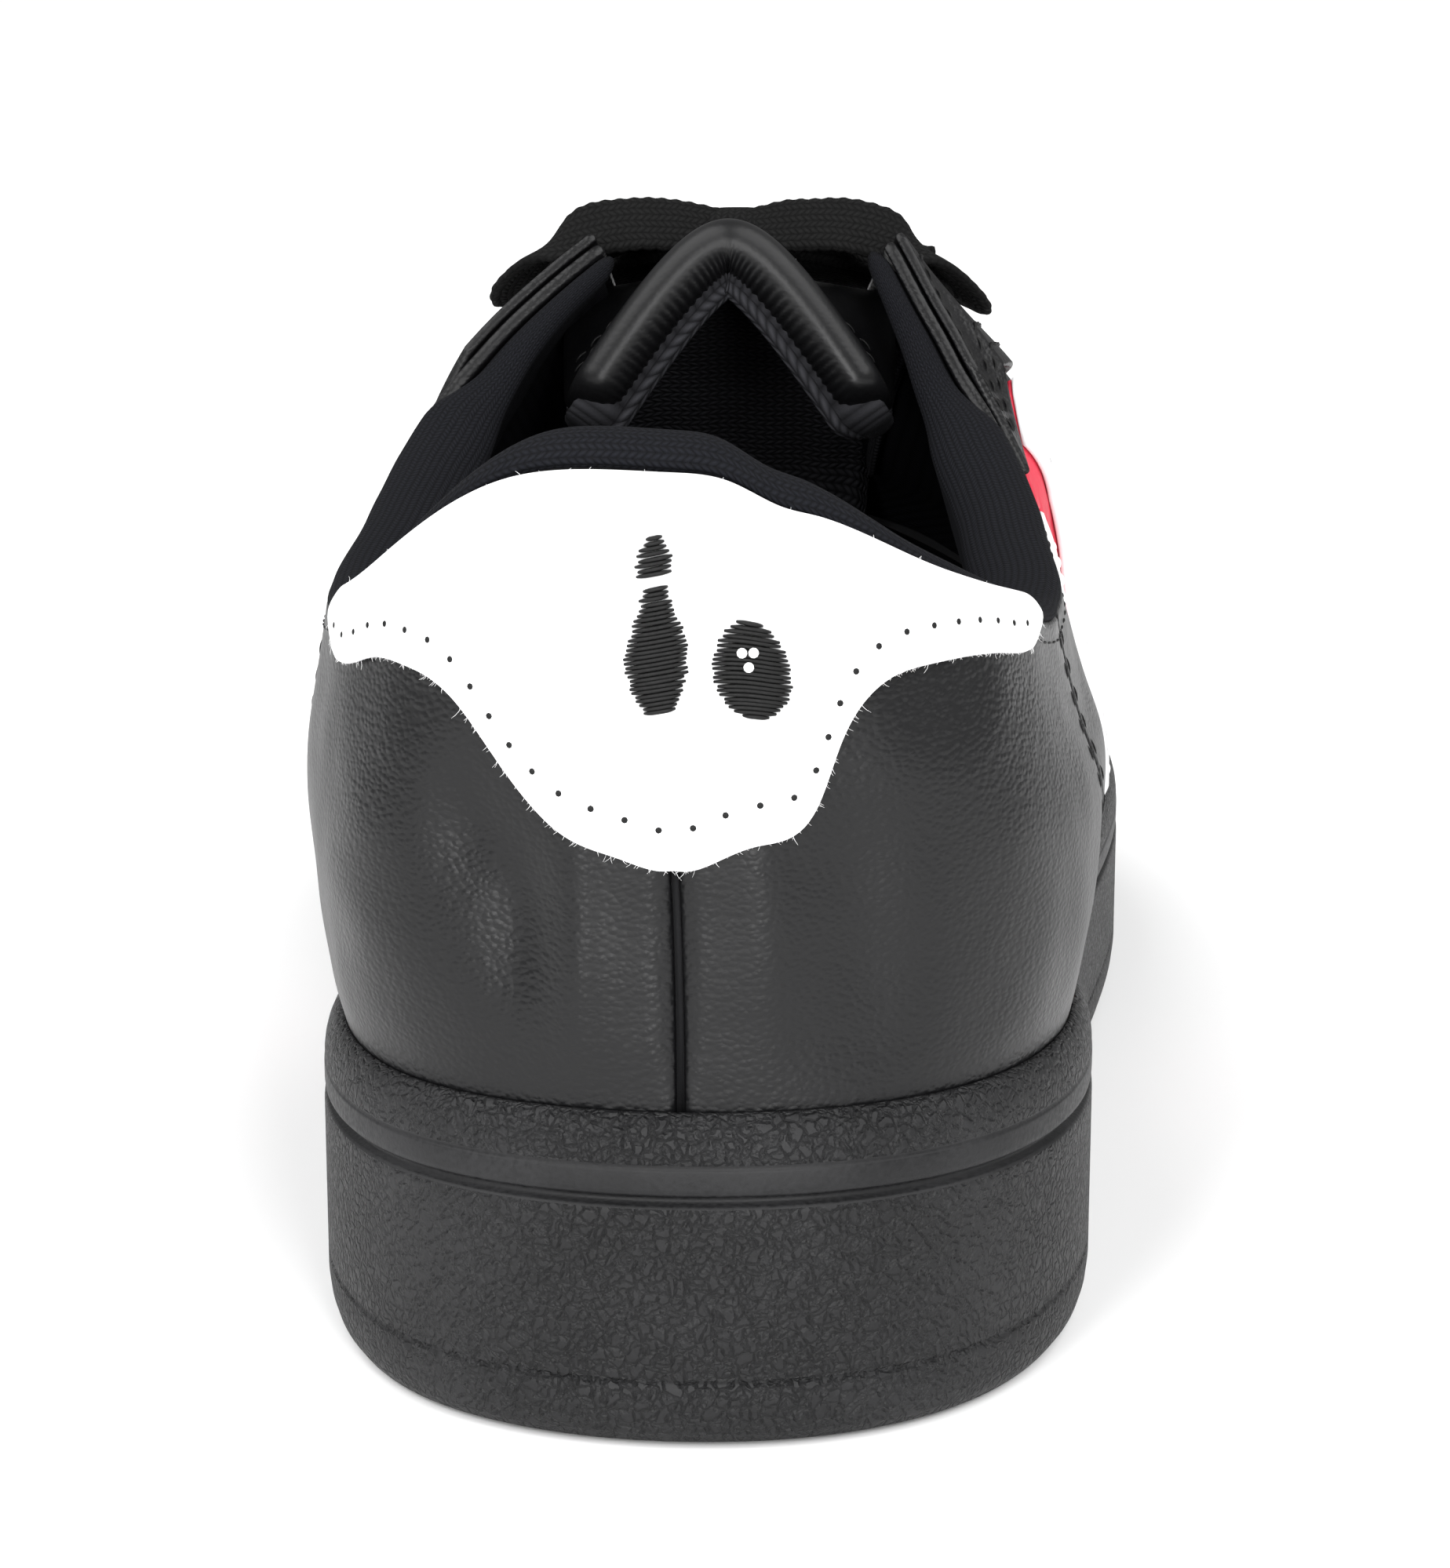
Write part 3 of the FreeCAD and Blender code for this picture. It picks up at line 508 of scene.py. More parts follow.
def rubberMaterial(name, pebbled):
    look = rubberLook
    made, tree, shade = newMaterial(name, look["dark"], 0.5, 0.28)
    warp = node(tree, "ShaderNodeTexNoise",
                {"Vector": place(tree, (420, 420, 420)), "Scale": 1.0, "Detail": 3.0})
    shift = node(tree, "ShaderNodeVectorMath",
                 {0: warp.outputs["Color"], 1: (2.6, 2.6, 2.6)}, operation="MULTIPLY")
    at = node(tree, "ShaderNodeVectorMath",
              {0: place(tree, (look["pebble"],) * 3), 1: shift.outputs[0]}, operation="ADD")
    cells = node(tree, "ShaderNodeTexVoronoi",
                 {"Vector": at.outputs[0], "Scale": 1.0}, feature="DISTANCE_TO_EDGE")
    fine = node(tree, "ShaderNodeTexNoise",
                {"Vector": place(tree, (1900, 1900, 1900)), "Scale": 1.0, "Detail": 4.0})
    slow = node(tree, "ShaderNodeTexNoise",
                {"Vector": place(tree, (60, 60, 60)), "Scale": 1.0, "Detail": 5.0})
    worn = mathNode(tree, "MULTIPLY", fine.outputs["Fac"], slow.outputs["Fac"])
    tree.links.new(twoColours(tree, span(tree, worn, 0.15, 0.4, 0, 1), look["dark"], look["light"]),
                   shade.inputs["Base Color"])
    tree.links.new(span(tree, fine.outputs["Fac"], 0.3, 0.7, 0.42, 0.62), shade.inputs["Roughness"])
    grit = bump(tree, shade, fine.outputs["Fac"], 0.00008, 0.6)
    if pebbled:
        bump(tree, shade, span(tree, cells.outputs["Distance"], 0.0, 0.22, 0.0, 1.0), look["depth"], 0.75,
             grit)
    return made


def whiteMaterial(name="whiteLeather", colour=(0.90, 0.90, 0.905), dirt=(0.80, 0.80, 0.81)):
    made, tree, shade = newMaterial(name, colour, 0.5, 0.35)
    slow = node(tree, "ShaderNodeTexNoise",
                {"Vector": place(tree, (90, 90, 90)), "Scale": 1.0, "Detail": 5.0})
    fine = node(tree, "ShaderNodeTexVoronoi", {"Vector": place(tree, (1500, 1500, 1500)), "Scale": 1.0})
    tree.links.new(twoColours(tree, span(tree, slow.outputs["Fac"], 0.35, 0.85, 0, 1), colour, dirt),
                   shade.inputs["Base Color"])
    tree.links.new(span(tree, slow.outputs["Fac"], 0.3, 0.7, 0.45, 0.6), shade.inputs["Roughness"])
    bump(tree, shade, fine.outputs["Distance"], 0.00003, 0.5)
    return made


# pitch is the width of one stitch in mm; needs the weave coordinates in metres; the colour follows the
# weave's height, with painted shade in its valleys and a painted highlight on its raised loops
def knitMaterial(name, colour, bright, pitch, depth=0.00022):
    made, tree, shade = newMaterial(name, colour, 0.9, 0.12)
    at = node(tree, "ShaderNodeSeparateXYZ", {"Vector": place(tree, (1000 / pitch, 1000 / pitch, 1), "UV")})
    across, along = at.outputs["X"], at.outputs["Y"]
    rib = mathNode(tree, "ABSOLUTE", mathNode(tree, "SINE", mathNode(tree, "MULTIPLY", along, math.pi)))
    lean = mathNode(tree, "PINGPONG", along, 1.0)
    slant = mathNode(tree, "ADD", mathNode(tree, "MULTIPLY", across, 1.1),
                     mathNode(tree, "MULTIPLY", lean, 0.8))
    loop = mathNode(tree, "ABSOLUTE", mathNode(tree, "SINE", mathNode(tree, "MULTIPLY", slant, math.pi)))
    height = mathNode(tree, "MULTIPLY", mathNode(tree, "MULTIPLY_ADD", rib, 0.7, 0.3),
                      mathNode(tree, "MULTIPLY_ADD", loop, 0.7, 0.3))
    fuzz = node(tree, "ShaderNodeTexNoise",
                {"Vector": place(tree, (2600, 2600, 2600)), "Scale": 1.0, "Detail": 3.0})
    # painted shade and highlight: the weave's valleys are darkened to 0.4 of colour and its raised loops
    # lightened to bright
    tree.links.new(twoColours(tree, height, tuple(c * 0.4 for c in colour), bright),
                   shade.inputs["Base Color"])
    tree.links.new(span(tree, fuzz.outputs["Fac"], 0.3, 0.7, 0.8, 0.98), shade.inputs["Roughness"])
    first = bump(tree, shade, fuzz.outputs["Fac"], 0.00010, 0.5)
    bump(tree, shade, height, depth, 0.8, first)
    return made


def threadMaterial(name, colour, bright):
    made, tree, shade = newMaterial(name, colour, 0.55, 0.22)
    twist = node(tree, "ShaderNodeTexNoise",
                 {"Vector": place(tree, (3000, 3000, 3000)), "Scale": 1.0, "Detail": 2.0})
    tree.links.new(twoColours(tree, twist.outputs["Fac"], colour, bright), shade.inputs["Base Color"])
    tree.links.new(span(tree, twist.outputs["Fac"], 0.3, 0.7, 0.4, 0.7), shade.inputs["Roughness"])
    bump(tree, shade, twist.outputs["Fac"], 0.00006, 0.6)
    return made


# a plain material with fine mottling, for the pieces inside
def speckMaterial(name, colour, bright, scale, roughness):
    made, tree, shade = newMaterial(name, colour, roughness, 0.3)
    speck = node(tree, "ShaderNodeTexNoise",
                 {"Vector": place(tree, (scale,) * 3), "Scale": 1.0, "Detail": 5.0})
    tree.links.new(twoColours(tree, span(tree, speck.outputs["Fac"], 0.35, 0.7, 0, 1), colour, bright),
                   shade.inputs["Base Color"])
    tree.links.new(span(tree, speck.outputs["Fac"], 0.3, 0.7, roughness - 0.1, roughness + 0.1),
                   shade.inputs["Roughness"])
    bump(tree, shade, speck.outputs["Fac"], 0.0001, 0.6)
    return made


leather = leatherMaterial("blackLeather", 0.55)
softLeather = leatherMaterial("tongueLeather", 0.12)
pebbledRubber = rubberMaterial("pebbledRubber", True)
smoothRubber = rubberMaterial("smoothRubber", False)
white = whiteMaterial()
red = whiteMaterial("redLeather", (0.62, 0.03, 0.06), (0.45, 0.02, 0.04))
knit = knitMaterial("ribKnit", (0.0035, 0.0036, 0.0048), (0.0085, 0.009, 0.012), 0.75)
meshKnit = knitMaterial("meshKnit", (0.014, 0.014, 0.016), (0.055, 0.055, 0.062), 1.4, 0.00035)
laceWeave = knitMaterial("laceWeave", (0.003, 0.003, 0.003), (0.008, 0.008, 0.008), 0.9)
blackThread = threadMaterial("blackThread", (0.002, 0.002, 0.002), (0.008, 0.008, 0.008))
whiteThread = threadMaterial("whiteThread", (0.7, 0.7, 0.7), (0.9, 0.9, 0.9))
sockCloth = speckMaterial("sockCloth", (0.02, 0.02, 0.022), (0.05, 0.05, 0.055), 1500, 0.85)
aglet = speckMaterial("agletFilm", (0.012, 0.012, 0.012), (0.03, 0.03, 0.03), 400, 0.25)
print("materials made")


# inset from the plan, height above the ground line, height below the lip (one of the two is used)
wallProfile = [
    (6.0, 0.0, None), (3.4, 0.0, None), (2.3, 0.14, None), (1.3, 0.65, None), (0.6, 1.6, None),
    (0.2, 2.9, None), (0.0, 4.6, None), (0.0, 6.4, None), (0.2, 6.65, None), (0.2, 6.95, None),
    (0.0, 7.2, None), (0.0, None, 17.0), (0.0, None, 14.0), (0.0, None, 11.0), (0.0, None, 9.3),
    (0.06, None, 8.7), (0.35, None, 8.45), (1.0, None, 8.3), (1.0, None, 7.7), (0.35, None, 7.5),
    (0.10, None, 7.25), (0.06, None, 6.8), (0.06, None, 5.2), (0.12, None, 4.95), (0.34, None, 4.75),
    (0.14, None, 4.5), (0.14, None, 3.9), (0.26, None, 3.0), (0.5, None, 2.1), (0.9, None, 1.2),
    (1.35, None, 0.5), (1.85, None, 0.1), (2.2, None, 0.0), (2.42, None, 0.25), (2.5, None, 1.0),
    (2.5, None, 6.0), (2.6, None, 12.0)]
smoothBand = (8.8, 4.6)     # below the lip: between these the wall has no pebble
treadSlots = {"ball": (12, 9), "heel": (-126, 6), "pitch": 9.5, "width": 2.4, "depth": 1.5,
              "halfBall": 30, "halfHeel": 20}
soleMesh = {"around": 960, "across": 56}


def slotDepth(x, y):
    look = treadSlots
    depth = np.zeros(x.shape)
    for key, half in (("ball", look["halfBall"]), ("heel", look["halfHeel"])):
        first, count = look[key]
        into = (y - first) % look["pitch"]
        inside = (y > first - 1) & (y < first + look["pitch"] * (count - 1) + look["width"] + 1)
        cut = ease(into / 0.5) * ease((look["width"] - into) / 0.5) * ease((half - np.abs(x)) / 0.6)
        depth = np.maximum(depth, np.where(inside, cut, 0) * look["depth"])
    return depth


def makeSole():
    count, columns = soleMesh["around"], soleMesh["across"]
    stations = np.arange(count) * 20.0 / count
    rings = []
    for inset, high, below in wallProfile:
        plan, _ = planPoint(stations, np.full(count, inset))
        edge, _ = planPoint(stations, np.zeros(count))
        if below is None:
            z = ground(edge[:, 1]) + high
        else:
            z = lip(edge[:, 1]) - below
        rings.append(np.concatenate([plan, z[:, None]], 1))
    points = [np.array(rings).reshape(-1, 3)]
    rows = len(wallProfile)
    faces = gridFaces(rows, count, closeColumns=True)
    total = rows * count
    bandRows = [k for k, (_, _, below) in enumerate(wallProfile[:-1])
                if below is not None and smoothBand[1] <= below <= smoothBand[0]]
    slots = [1 if f // count in bandRows else 0 for f in range(len(faces))]
    half = count // 2
    for ring, deep in ((0, True), (rows - 1, False)):
        outer = rings[ring]
        part = np.linspace(0, 1, columns + 1)[1:-1]
        lines = []
        for k in range(1, half):
            a, b = outer[k], outer[count - k]
            line = a + (b - a) * part[:, None]
            if deep:
                line[:, 2] = ground(line[:, 1])
                line[:, 2] += slotDepth(line[:, 0], line[:, 1])
            lines.append(line)
        start = total
        points.append(np.array(lines).reshape(-1, 3))
        total += (half - 1) * (columns - 1)

        def index(k, m):
            if k == 0:
                return ring * count
            if k == half:
                return ring * count + half
            if m == 0:
                return ring * count + k
            if m == columns:
                return ring * count + count - k
            return start + (k - 1) * (columns - 1) + m - 1

        for k in range(half):
            for m in range(columns):
                corners = [index(k, m), index(k + 1, m), index(k + 1, m + 1), index(k, m + 1)]
                unique = list(dict.fromkeys(corners))
                if len(unique) > 2:
                    faces.append(tuple(unique))
                    slots.append(1 if deep else 0)
    item = meshObject("soleCup", np.concatenate(points), faces, "shoe", pebbledRubber)
    item.data.materials.append(smoothRubber)
    if len(item.data.polygons) == len(slots):
        item.data.polygons.foreach_set("material_index", slots)
    facesOutward(item)
    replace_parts(item, "outsole")
    print("sole made", len(item.data.vertices))


sockShape = {"below": 10.8, "thick": 3.6, "inset": 9.0, "crown": 0.8}


# the sockliner: a thin pad that dips a little under the heel
def makeSock():
    along, across = 120, 30
    stations = np.linspace(0.02, 9.98, along)
    look = sockShape
    rightSide, _ = planPoint(stations, np.full(along, look["inset"]))
    leftSide, _ = planPoint(-stations, np.full(along, look["inset"]))
    part = np.linspace(0, 1, across)[None, :, None]
    flat = rightSide[:, None] + (leftSide - rightSide)[:, None] * part
    high = lip(flat[..., 1])
    rim = 1 - np.abs(np.linspace(-1, 1, across))[None, :] ** 6
    top = high - look["below"] + look["thick"] - look["crown"] * rim
    outer = np.concatenate([flat, top[..., None]], -1)
    inner = np.concatenate([flat, (high - look["below"] + 0.1)[..., None]], -1)
    item = sheetPiece("sockPad", outer, inner, "shoe", sockCloth)
    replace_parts(item, "sockliner")


panelThickness, overlayThickness, layerGap = 1.6, 1.2, 0.3
seams = {"back": -0.038, "side": 2.35, "vamp": 6.0, "toe": 8.0}
edgeRise = 0.945


def leatherTop(station):
    return edgeRise + (1 - edgeRise) * ease((np.abs(station) - 3.5) / 0.45)


def makePanels():
    for side, name in ((1, "Lateral"), (-1, "Medial")):
        ending = name.lower()
        a, b = sorted((seams["back"] + side * 0.035, side * (seams["side"] - 0.03)))
        item = upperSheet("heelPanel" + name, np.linspace(a, b, 90), feet, leatherTop, 0, -panelThickness,
                          90, leather)
        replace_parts(item, "heel_panel_" + ending)
        a, b = sorted((side * (seams["side"] + 0.03), side * (seams["vamp"] - 0.03)))
        item = upperSheet("quarter" + name, np.linspace(a, b, 150), feet, leatherTop, 0, -panelThickness,
                          90, leather)
        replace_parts(item, "quarter_" + ending)
    stations = np.linspace(seams["vamp"] + 0.025, seams["toe"] - 0.02, 90)

    def cross(out):
        part = np.linspace(0, 1, 60)[None, :]
        s = stations[:, None] + part * 0
        low = feet(stations)[:, None]
        outside = skin(s, low + (0.9995 - low) * part, out)
        inside = skin(-s, low + (0.9995 - low) * part, out)
        return np.concatenate([outside, inside[:, -2::-1]], 1)

    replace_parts(sheetPiece("vampLeather", cross(0), cross(-panelThickness), "shoe", leather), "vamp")

    def toe(out):
        across, along = np.meshgrid(np.linspace(-1, 1, 100), np.linspace(0.012, 0.955, 60), indexing="ij")
        station, rise = toeStation(across, along)
        return skin(station, rise, out)

    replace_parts(sheetPiece("toeCap", toe(0), toe(-panelThickness), "shoe", leather),
                "toe_cap")
    print("panels made")


tabFoot = splineThrough([
    (-1.66, 0.90), (-1.5, 0.84), (-1.2, 0.80), (-0.97, 0.74), (-0.7, 0.62), (-0.54, 0.49), (-0.4, 0.41),
    (-0.2, 0.36), (-0.03, 0.338), (0.23, 0.39), (0.46, 0.475), (0.57, 0.6), (0.7, 0.705), (0.96, 0.80),
    (1.36, 0.86), (1.6, 0.885), (1.72, 0.92)])
tabTop = splineThrough([(-1.66, 0.97), (-1.3, 0.955), (-0.8, 0.944), (0, 0.944), (0.8, 0.95), (1.4, 0.962),
                        (1.72, 0.975)])
tabOut = layerGap + overlayThickness


tabEnds = {"medial": -1.66, "lateral": 1.72, "round": 0.15}


# foot and top of the tab at each station, with its two ends rounded
def tabEdges(station):
    ends = tabEnds
    foot, top = tabFoot(station)[..., 0], tabTop(station)[..., 0]
    left = np.minimum(station - ends["medial"], ends["lateral"] - station)
    into = np.clip(1 - left / ends["round"], 0, 1)
    half = (top - foot) / 2 * np.maximum(np.sqrt(1 - into * into), 0.16)
    return (foot + top) / 2 - half, (foot + top) / 2 + half


def makeTab():
    turn = np.linspace(0, math.pi, 220)
    reach = tabEnds["lateral"] - tabEnds["medial"]
    stations = tabEnds["medial"] + reach * (0.5 - 0.5 * np.cos(turn)) * 0.35 + reach * turn / math.pi * 0.65
    item = upperSheet("heelTab", stations, lambda s: tabEdges(s)[0], lambda s: tabEdges(s)[1],
                      tabOut, layerGap, 60, white)
    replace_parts(item, "heel_tab")
    print("tab made")


# points and faces of a closed tube; line (n, 3), radii (n,), flat squeezes it towards up
def tubeMesh(line, radii, sides=6, flat=1.0, up=None):
    line = np.asarray(line, float)
    along = unit(np.gradient(line, axis=0))
    up = np.array((0.13, 0.31, 0.94)) if up is None else np.asarray(up, float)
    side = unit(np.cross(along, up))
    top = np.cross(side, along)
    turn = np.linspace(0, 2 * math.pi, sides, endpoint=False)
    ring = side[:, None] * np.cos(turn)[None, :, None] + top[:, None] * np.sin(turn)[None, :, None] * flat
    body = line[:, None] + ring * np.asarray(radii, float)[:, None, None]
    n = len(line)
    points = np.concatenate([body.reshape(-1, 3), line[:1] - along[:1] * radii[0] * 0.4,
                             line[-1:] + along[-1:] * radii[-1] * 0.4])
    faces = gridFaces(n, sides, closeColumns=True, flip=True)
    faces += [(n * sides, (j + 1) % sides, j) for j in range(sides)]
    faces += [(n * sides + 1, (n - 1) * sides + j, (n - 1) * sides + (j + 1) % sides) for j in range(sides)]
    return points, faces


# many small meshes gathered into one object
class Bundle:
    def __init__(self):
        self.points, self.faces, self.count = [], [], 0

    def add(self, points, faces):
        self.faces += [tuple(v + self.count for v in face) for face in faces]
        self.points.append(np.asarray(points, float).reshape(-1, 3))
        self.count += len(self.points[-1])

    def make(self, name, material, slotName, body="shoe"):
        item = meshObject(name, np.concatenate(self.points), self.faces, body, material)
        return facesOutward(item)


# places every spacing mm along a line: fractional row numbers
def walk(line, spacing, start=0.0):
    run = np.concatenate([[0], np.cumsum(np.linalg.norm(np.diff(line, axis=0), axis=-1))])
    where = np.arange(start, run[-1], spacing)
    return np.interp(where, run, np.arange(len(line)))


def rowAt(line, at):
    base = np.arange(len(line))
    return np.stack([np.interp(at, base, line[:, k]) for k in range(3)], -1)


stitchLook = {"length": 2.5, "pitch": 3.2, "radius": 0.26, "sunk": 0.12}


# thread stitches along a line of points on a face
def stitchRow(bundle, line, normals, pitch=None, length=None, radius=None, sunk=None, skew=0.0):
    look = stitchLook
    pitch, length = pitch or look["pitch"], length or look["length"]
    radius, sunk = radius or look["radius"], look["sunk"] if sunk is None else sunk
    run = np.concatenate([[0], np.cumsum(np.linalg.norm(np.diff(line, axis=0), axis=-1))])
    for begin in np.arange(0.3, run[-1] - length, pitch):
        where = np.interp(np.linspace(begin, begin + length, 7), run, np.arange(len(line)))
        middle, normal = rowAt(line, where), unit(rowAt(normals, where))
        rise = np.array([-1.2, 0.1, 0.75, 0.95, 0.75, 0.1, -1.2]) * radius
        across = unit(np.cross(normal, np.gradient(middle, axis=0))) * np.linspace(-skew, skew, 7)[:, None]
        points = middle + normal * (rise[:, None] + radius * 0.3 - sunk) + across
        radii = radius * np.array([0.75, 0.95, 1.0, 1.02, 1.0, 0.95, 0.75])
        bundle.add(*tubeMesh(points, radii, 6, up=normal[3]))


def upperLine(stations, rises, out):
    return skin(stations, rises, out), upperNormal(stations, rises)


def ballMesh(centre, normal, radius, squash=0.5, sides=8, rings=4):
    normal = unit(np.asarray(normal, float))
    side = unit(np.cross(normal, (0.1, 0.2, 0.97)))
    top = np.cross(normal, side)
    points = [centre + normal * radius * squash]
    for k in range(1, rings):
        polar = math.pi * k / rings
        for j in range(sides):
            turn = 2 * math.pi * j / sides
            flat = side * math.cos(turn) + top * math.sin(turn)
            points.append(centre + (flat * math.sin(polar) + normal * squash * math.cos(polar)) * radius)
    points.append(centre - normal * radius * squash)
    last = len(points) - 1
    faces = [(0, 1 + j, 1 + (j + 1) % sides) for j in range(sides)]
    for k in range(rings - 2):
        a, b = 1 + k * sides, 1 + (k + 1) * sides
        faces += [(a + j, b + j, b + (j + 1) % sides, a + (j + 1) % sides) for j in range(sides)]
    a = 1 + (rings - 2) * sides
    faces += [(last, a + (j + 1) % sides, a + j) for j in range(sides)]
    return points, faces


tabTrim = {"inset": 0.062, "pitch": 3.2, "hole": 0.34, "thread": 0.20, "fibres": 620, "fibreRadius": 0.028,
           "seed": 4}


def makeTabTrim():
    look = tabTrim
    stations = np.linspace(-1.56, 1.62, 400)
    foot, top = tabEdges(stations)
    rises = np.minimum(foot + look["inset"] * (1 - 0.35 * np.abs(stations / 1.66) ** 2), top - 0.012)
    line, normals = upperLine(stations, rises, tabOut)
    threads, holes = Bundle(), Bundle()
    stitchRow(threads, line, normals, look["pitch"], look["pitch"] - 0.75, look["thread"], 0.16)
    for at in walk(line, look["pitch"], 0.3 - 0.38):
        holes.add(*ballMesh(rowAt(line, np.array([at]))[0] - normals[int(at)] * 0.02, normals[int(at)],
                            look["hole"], 0.35))
    threads.make("heelTabStitches", whiteThread, "white_leather")
    holes.make("heelTabNeedleHoles", blackThread, "badge_thread")
    draw = random.Random(look["seed"])
    fuzz = Bundle()
    for _ in range(look["fibres"]):
        s = draw.uniform(-1.66, 1.72)
        onFoot = draw.random() < 0.93
        low = float(tabEdges(np.array(s))[0 if onFoot else 1])
        sign = -1 if onFoot else 1
        depth = draw.uniform(layerGap, tabOut)
        base = skin(s, low, depth)
        normal = upperNormal(np.array(s), np.array(low))
        away = unit(onUpper(s, low + sign * 0.02) - onUpper(s, low))
        side = np.cross(normal, away)
        reach = draw.uniform(0.2, 0.75) * (1.6 if draw.random() < 0.08 and sign < 0 else 1.0)
        bend = draw.uniform(-1, 1)
        line = [base + away * reach * part + side * reach * bend * part * part
                + normal * 0.35 * reach * part * draw.uniform(0.2, 1)
                for part in (0, 0.35, 0.7, 1.0)]
        fuzz.add(*tubeMesh(line, np.array([1.2, 1.0, 0.8, 0.4]) * look["fibreRadius"], 3))
    fuzz.make("heelTabFibres", whiteThread, "white_leather")
    print("tab trim made")


badgeLook = {"pin": (-0.05, 0.60, 0.87), "ball": (0.27, 0.69, 0.135, 0.08), "rows": 0.34, "thread": 0.22,
             "jitter": 0.006, "seed": 11, "slant": 0.022, "pinTall": 13.0, "ballTall": 7.8,
             "neck": (0.74, 0.78), "dots": ((0.235, 0.715), (0.275, 0.722), (0.255, 0.695))}
pinHalf = splineThrough([(0, 0.045), (0.12, 0.075), (0.36, 0.10), (0.62, 0.055), (0.72, 0.042),
                         (0.86, 0.058), (1, 0.02)])


def makeBadge():
    look, draw = badgeLook, random.Random(badgeLook["seed"])
    threads = Bundle()
    station, foot, head = look["pin"]
    rows = int(look["pinTall"] / look["rows"])
    spans = []
    for k in range(rows):
        up = (k + 0.5) / rows
        half = float(pinHalf(np.array(up))[0])
        if look["neck"][0] < up < look["neck"][1]:
            continue
        spans.append((station, foot + (head - foot) * up, half))
    station, middle, wide, tall = look["ball"]
    rows = int(look["ballTall"] / look["rows"])
    for k in range(rows):
        up = -1 + 2 * (k + 0.5) / rows
        spans.append((station, middle + tall * up, wide * math.sqrt(1 - up * up)))
    for centre, rise, half in spans:
        a = centre - half + draw.uniform(-1, 1) * look["jitter"]
        b = centre + half + draw.uniform(-1, 1) * look["jitter"]
        s = np.linspace(a, b, 9)
        part = np.linspace(-1, 1, 9)
        r = rise + part * look["slant"] * half / 0.1 * 0.5
        swell = tabOut + 0.05 + 0.55 * np.sqrt(np.clip(1 - part ** 2 * 0.98, 0, 1))
        threads.add(*tubeMesh(skin(s, r, swell),
                              look["thread"] * np.array([0.6, 0.85, 1, 1, 1, 1, 1, 0.85, 0.6]), 6,
                              up=upperNormal(np.array(centre), np.array(rise))))
    item = threads.make("badgeThreads", blackThread, "badge_thread")
    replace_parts(item, "heel_badge")
    dots = Bundle()
    for s, r in look["dots"]:
        dots.add(*ballMesh(skin(s, r, tabOut + 0.86), upperNormal(np.array(s), np.array(r)), 0.5, 0.3, 10, 5))
    dots.make("badgeBallHoles", whiteThread, "badge_thread")
    print("badge made")


# near and far edges as stations: near at the top, far at the top, near at the foot, far at the foot
stripeLook = {"foot": 0.03, "head": 0.73, "pinkPitch": 2.6, "pinkDepth": 0.9,
              "backing": (3.62, 4.62, 4.35, 5.35), "front": (3.80, 4.6, 4.53, 5.33),
              "rear": (3.40, 3.55, 4.13, 4.28),
              "stitchTops": (3.86, 4.54, 3.48, 3.33, 4.68), "stitchFeet": (4.59, 5.27, 4.21, 4.06, 5.41)}


def stripePiece(name, side, nearTop, farTop, nearFoot, farFoot, out, inside, material, slotName,
                pinked=False, columns=16, rows=200):
    look = stripeLook
    rise = np.linspace(look["foot"], look["head"], rows)
    part = (rise - look["foot"]) / (look["head"] - look["foot"])
    near, far = nearFoot + (nearTop - nearFoot) * part, farFoot + (farTop - farFoot) * part
    if pinked:
        centre = onUpper(side * near, rise)
        run = np.concatenate([[0], np.cumsum(np.linalg.norm(np.diff(centre, axis=0), axis=-1))])
        tooth = np.abs((run / look["pinkPitch"]) % 1 * 2 - 1) - 0.5
        width = np.linalg.norm(onUpper(side * near, rise) - onUpper(side * far, rise), axis=-1)
        shift = tooth * look["pinkDepth"] * 2 / width * (far - near)
        near, far = near + shift * 0.5, far - shift * 0.5
    across = np.linspace(0, 1, columns)
    station = side * (near[:, None] + (far - near)[:, None] * across)
    rise = np.repeat(rise[:, None], columns, 1)
    return sheetPiece(name, skin(station, rise, out), skin(station, rise, inside), "shoe", material)


def makeStripes():
    look = stripeLook
    backing, band = layerGap + 0.6, 2 * layerGap + 1.5
    threads = Bundle()
    for side, name in ((1, "Lateral"), (-1, "Medial")):
        ending = name.lower()
        item = stripePiece("stripeBacking" + name, side, *look["backing"], backing, layerGap, red,
                           "red_leather", True)
        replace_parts(item, "band_backing_" + ending)
        item = stripePiece("stripeFront" + name, side, *look["front"], band, backing + layerGap * 0.4, white,
                           "white_leather")
        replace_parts(item, "side_band_front_" + ending)
        item = stripePiece("stripeRear" + name, side, *look["rear"], tabOut, layerGap, white,
                           "white_leather", False, 8)
        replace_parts(item, "side_band_rear_" + ending)
        rise = np.linspace(0.05, 0.72, 260)
        part = (rise - 0.03) / 0.71
        heights = (band, band, tabOut, 0.0, 0.0)
        for nearTop, nearFoot, height in zip(look["stitchTops"], look["stitchFeet"], heights):
            line, normals = upperLine(side * (nearFoot + (nearTop - nearFoot) * part), rise, height)
            stitchRow(threads, line, normals, 3.0, 2.3, 0.2, 0.08)
    threads.make("stripeStitches", whiteThread, "white_leather")
    print("stripes made")


eyestayLook = {"foot": 0.76, "near": 3.66, "far": 5.94, "eyelet": 0.90, "stations": (4.35, 5.72),
               "count": 6, "hole": 4.6}


def eyeletStations():
    return np.linspace(*eyestayLook["stations"], eyestayLook["count"])


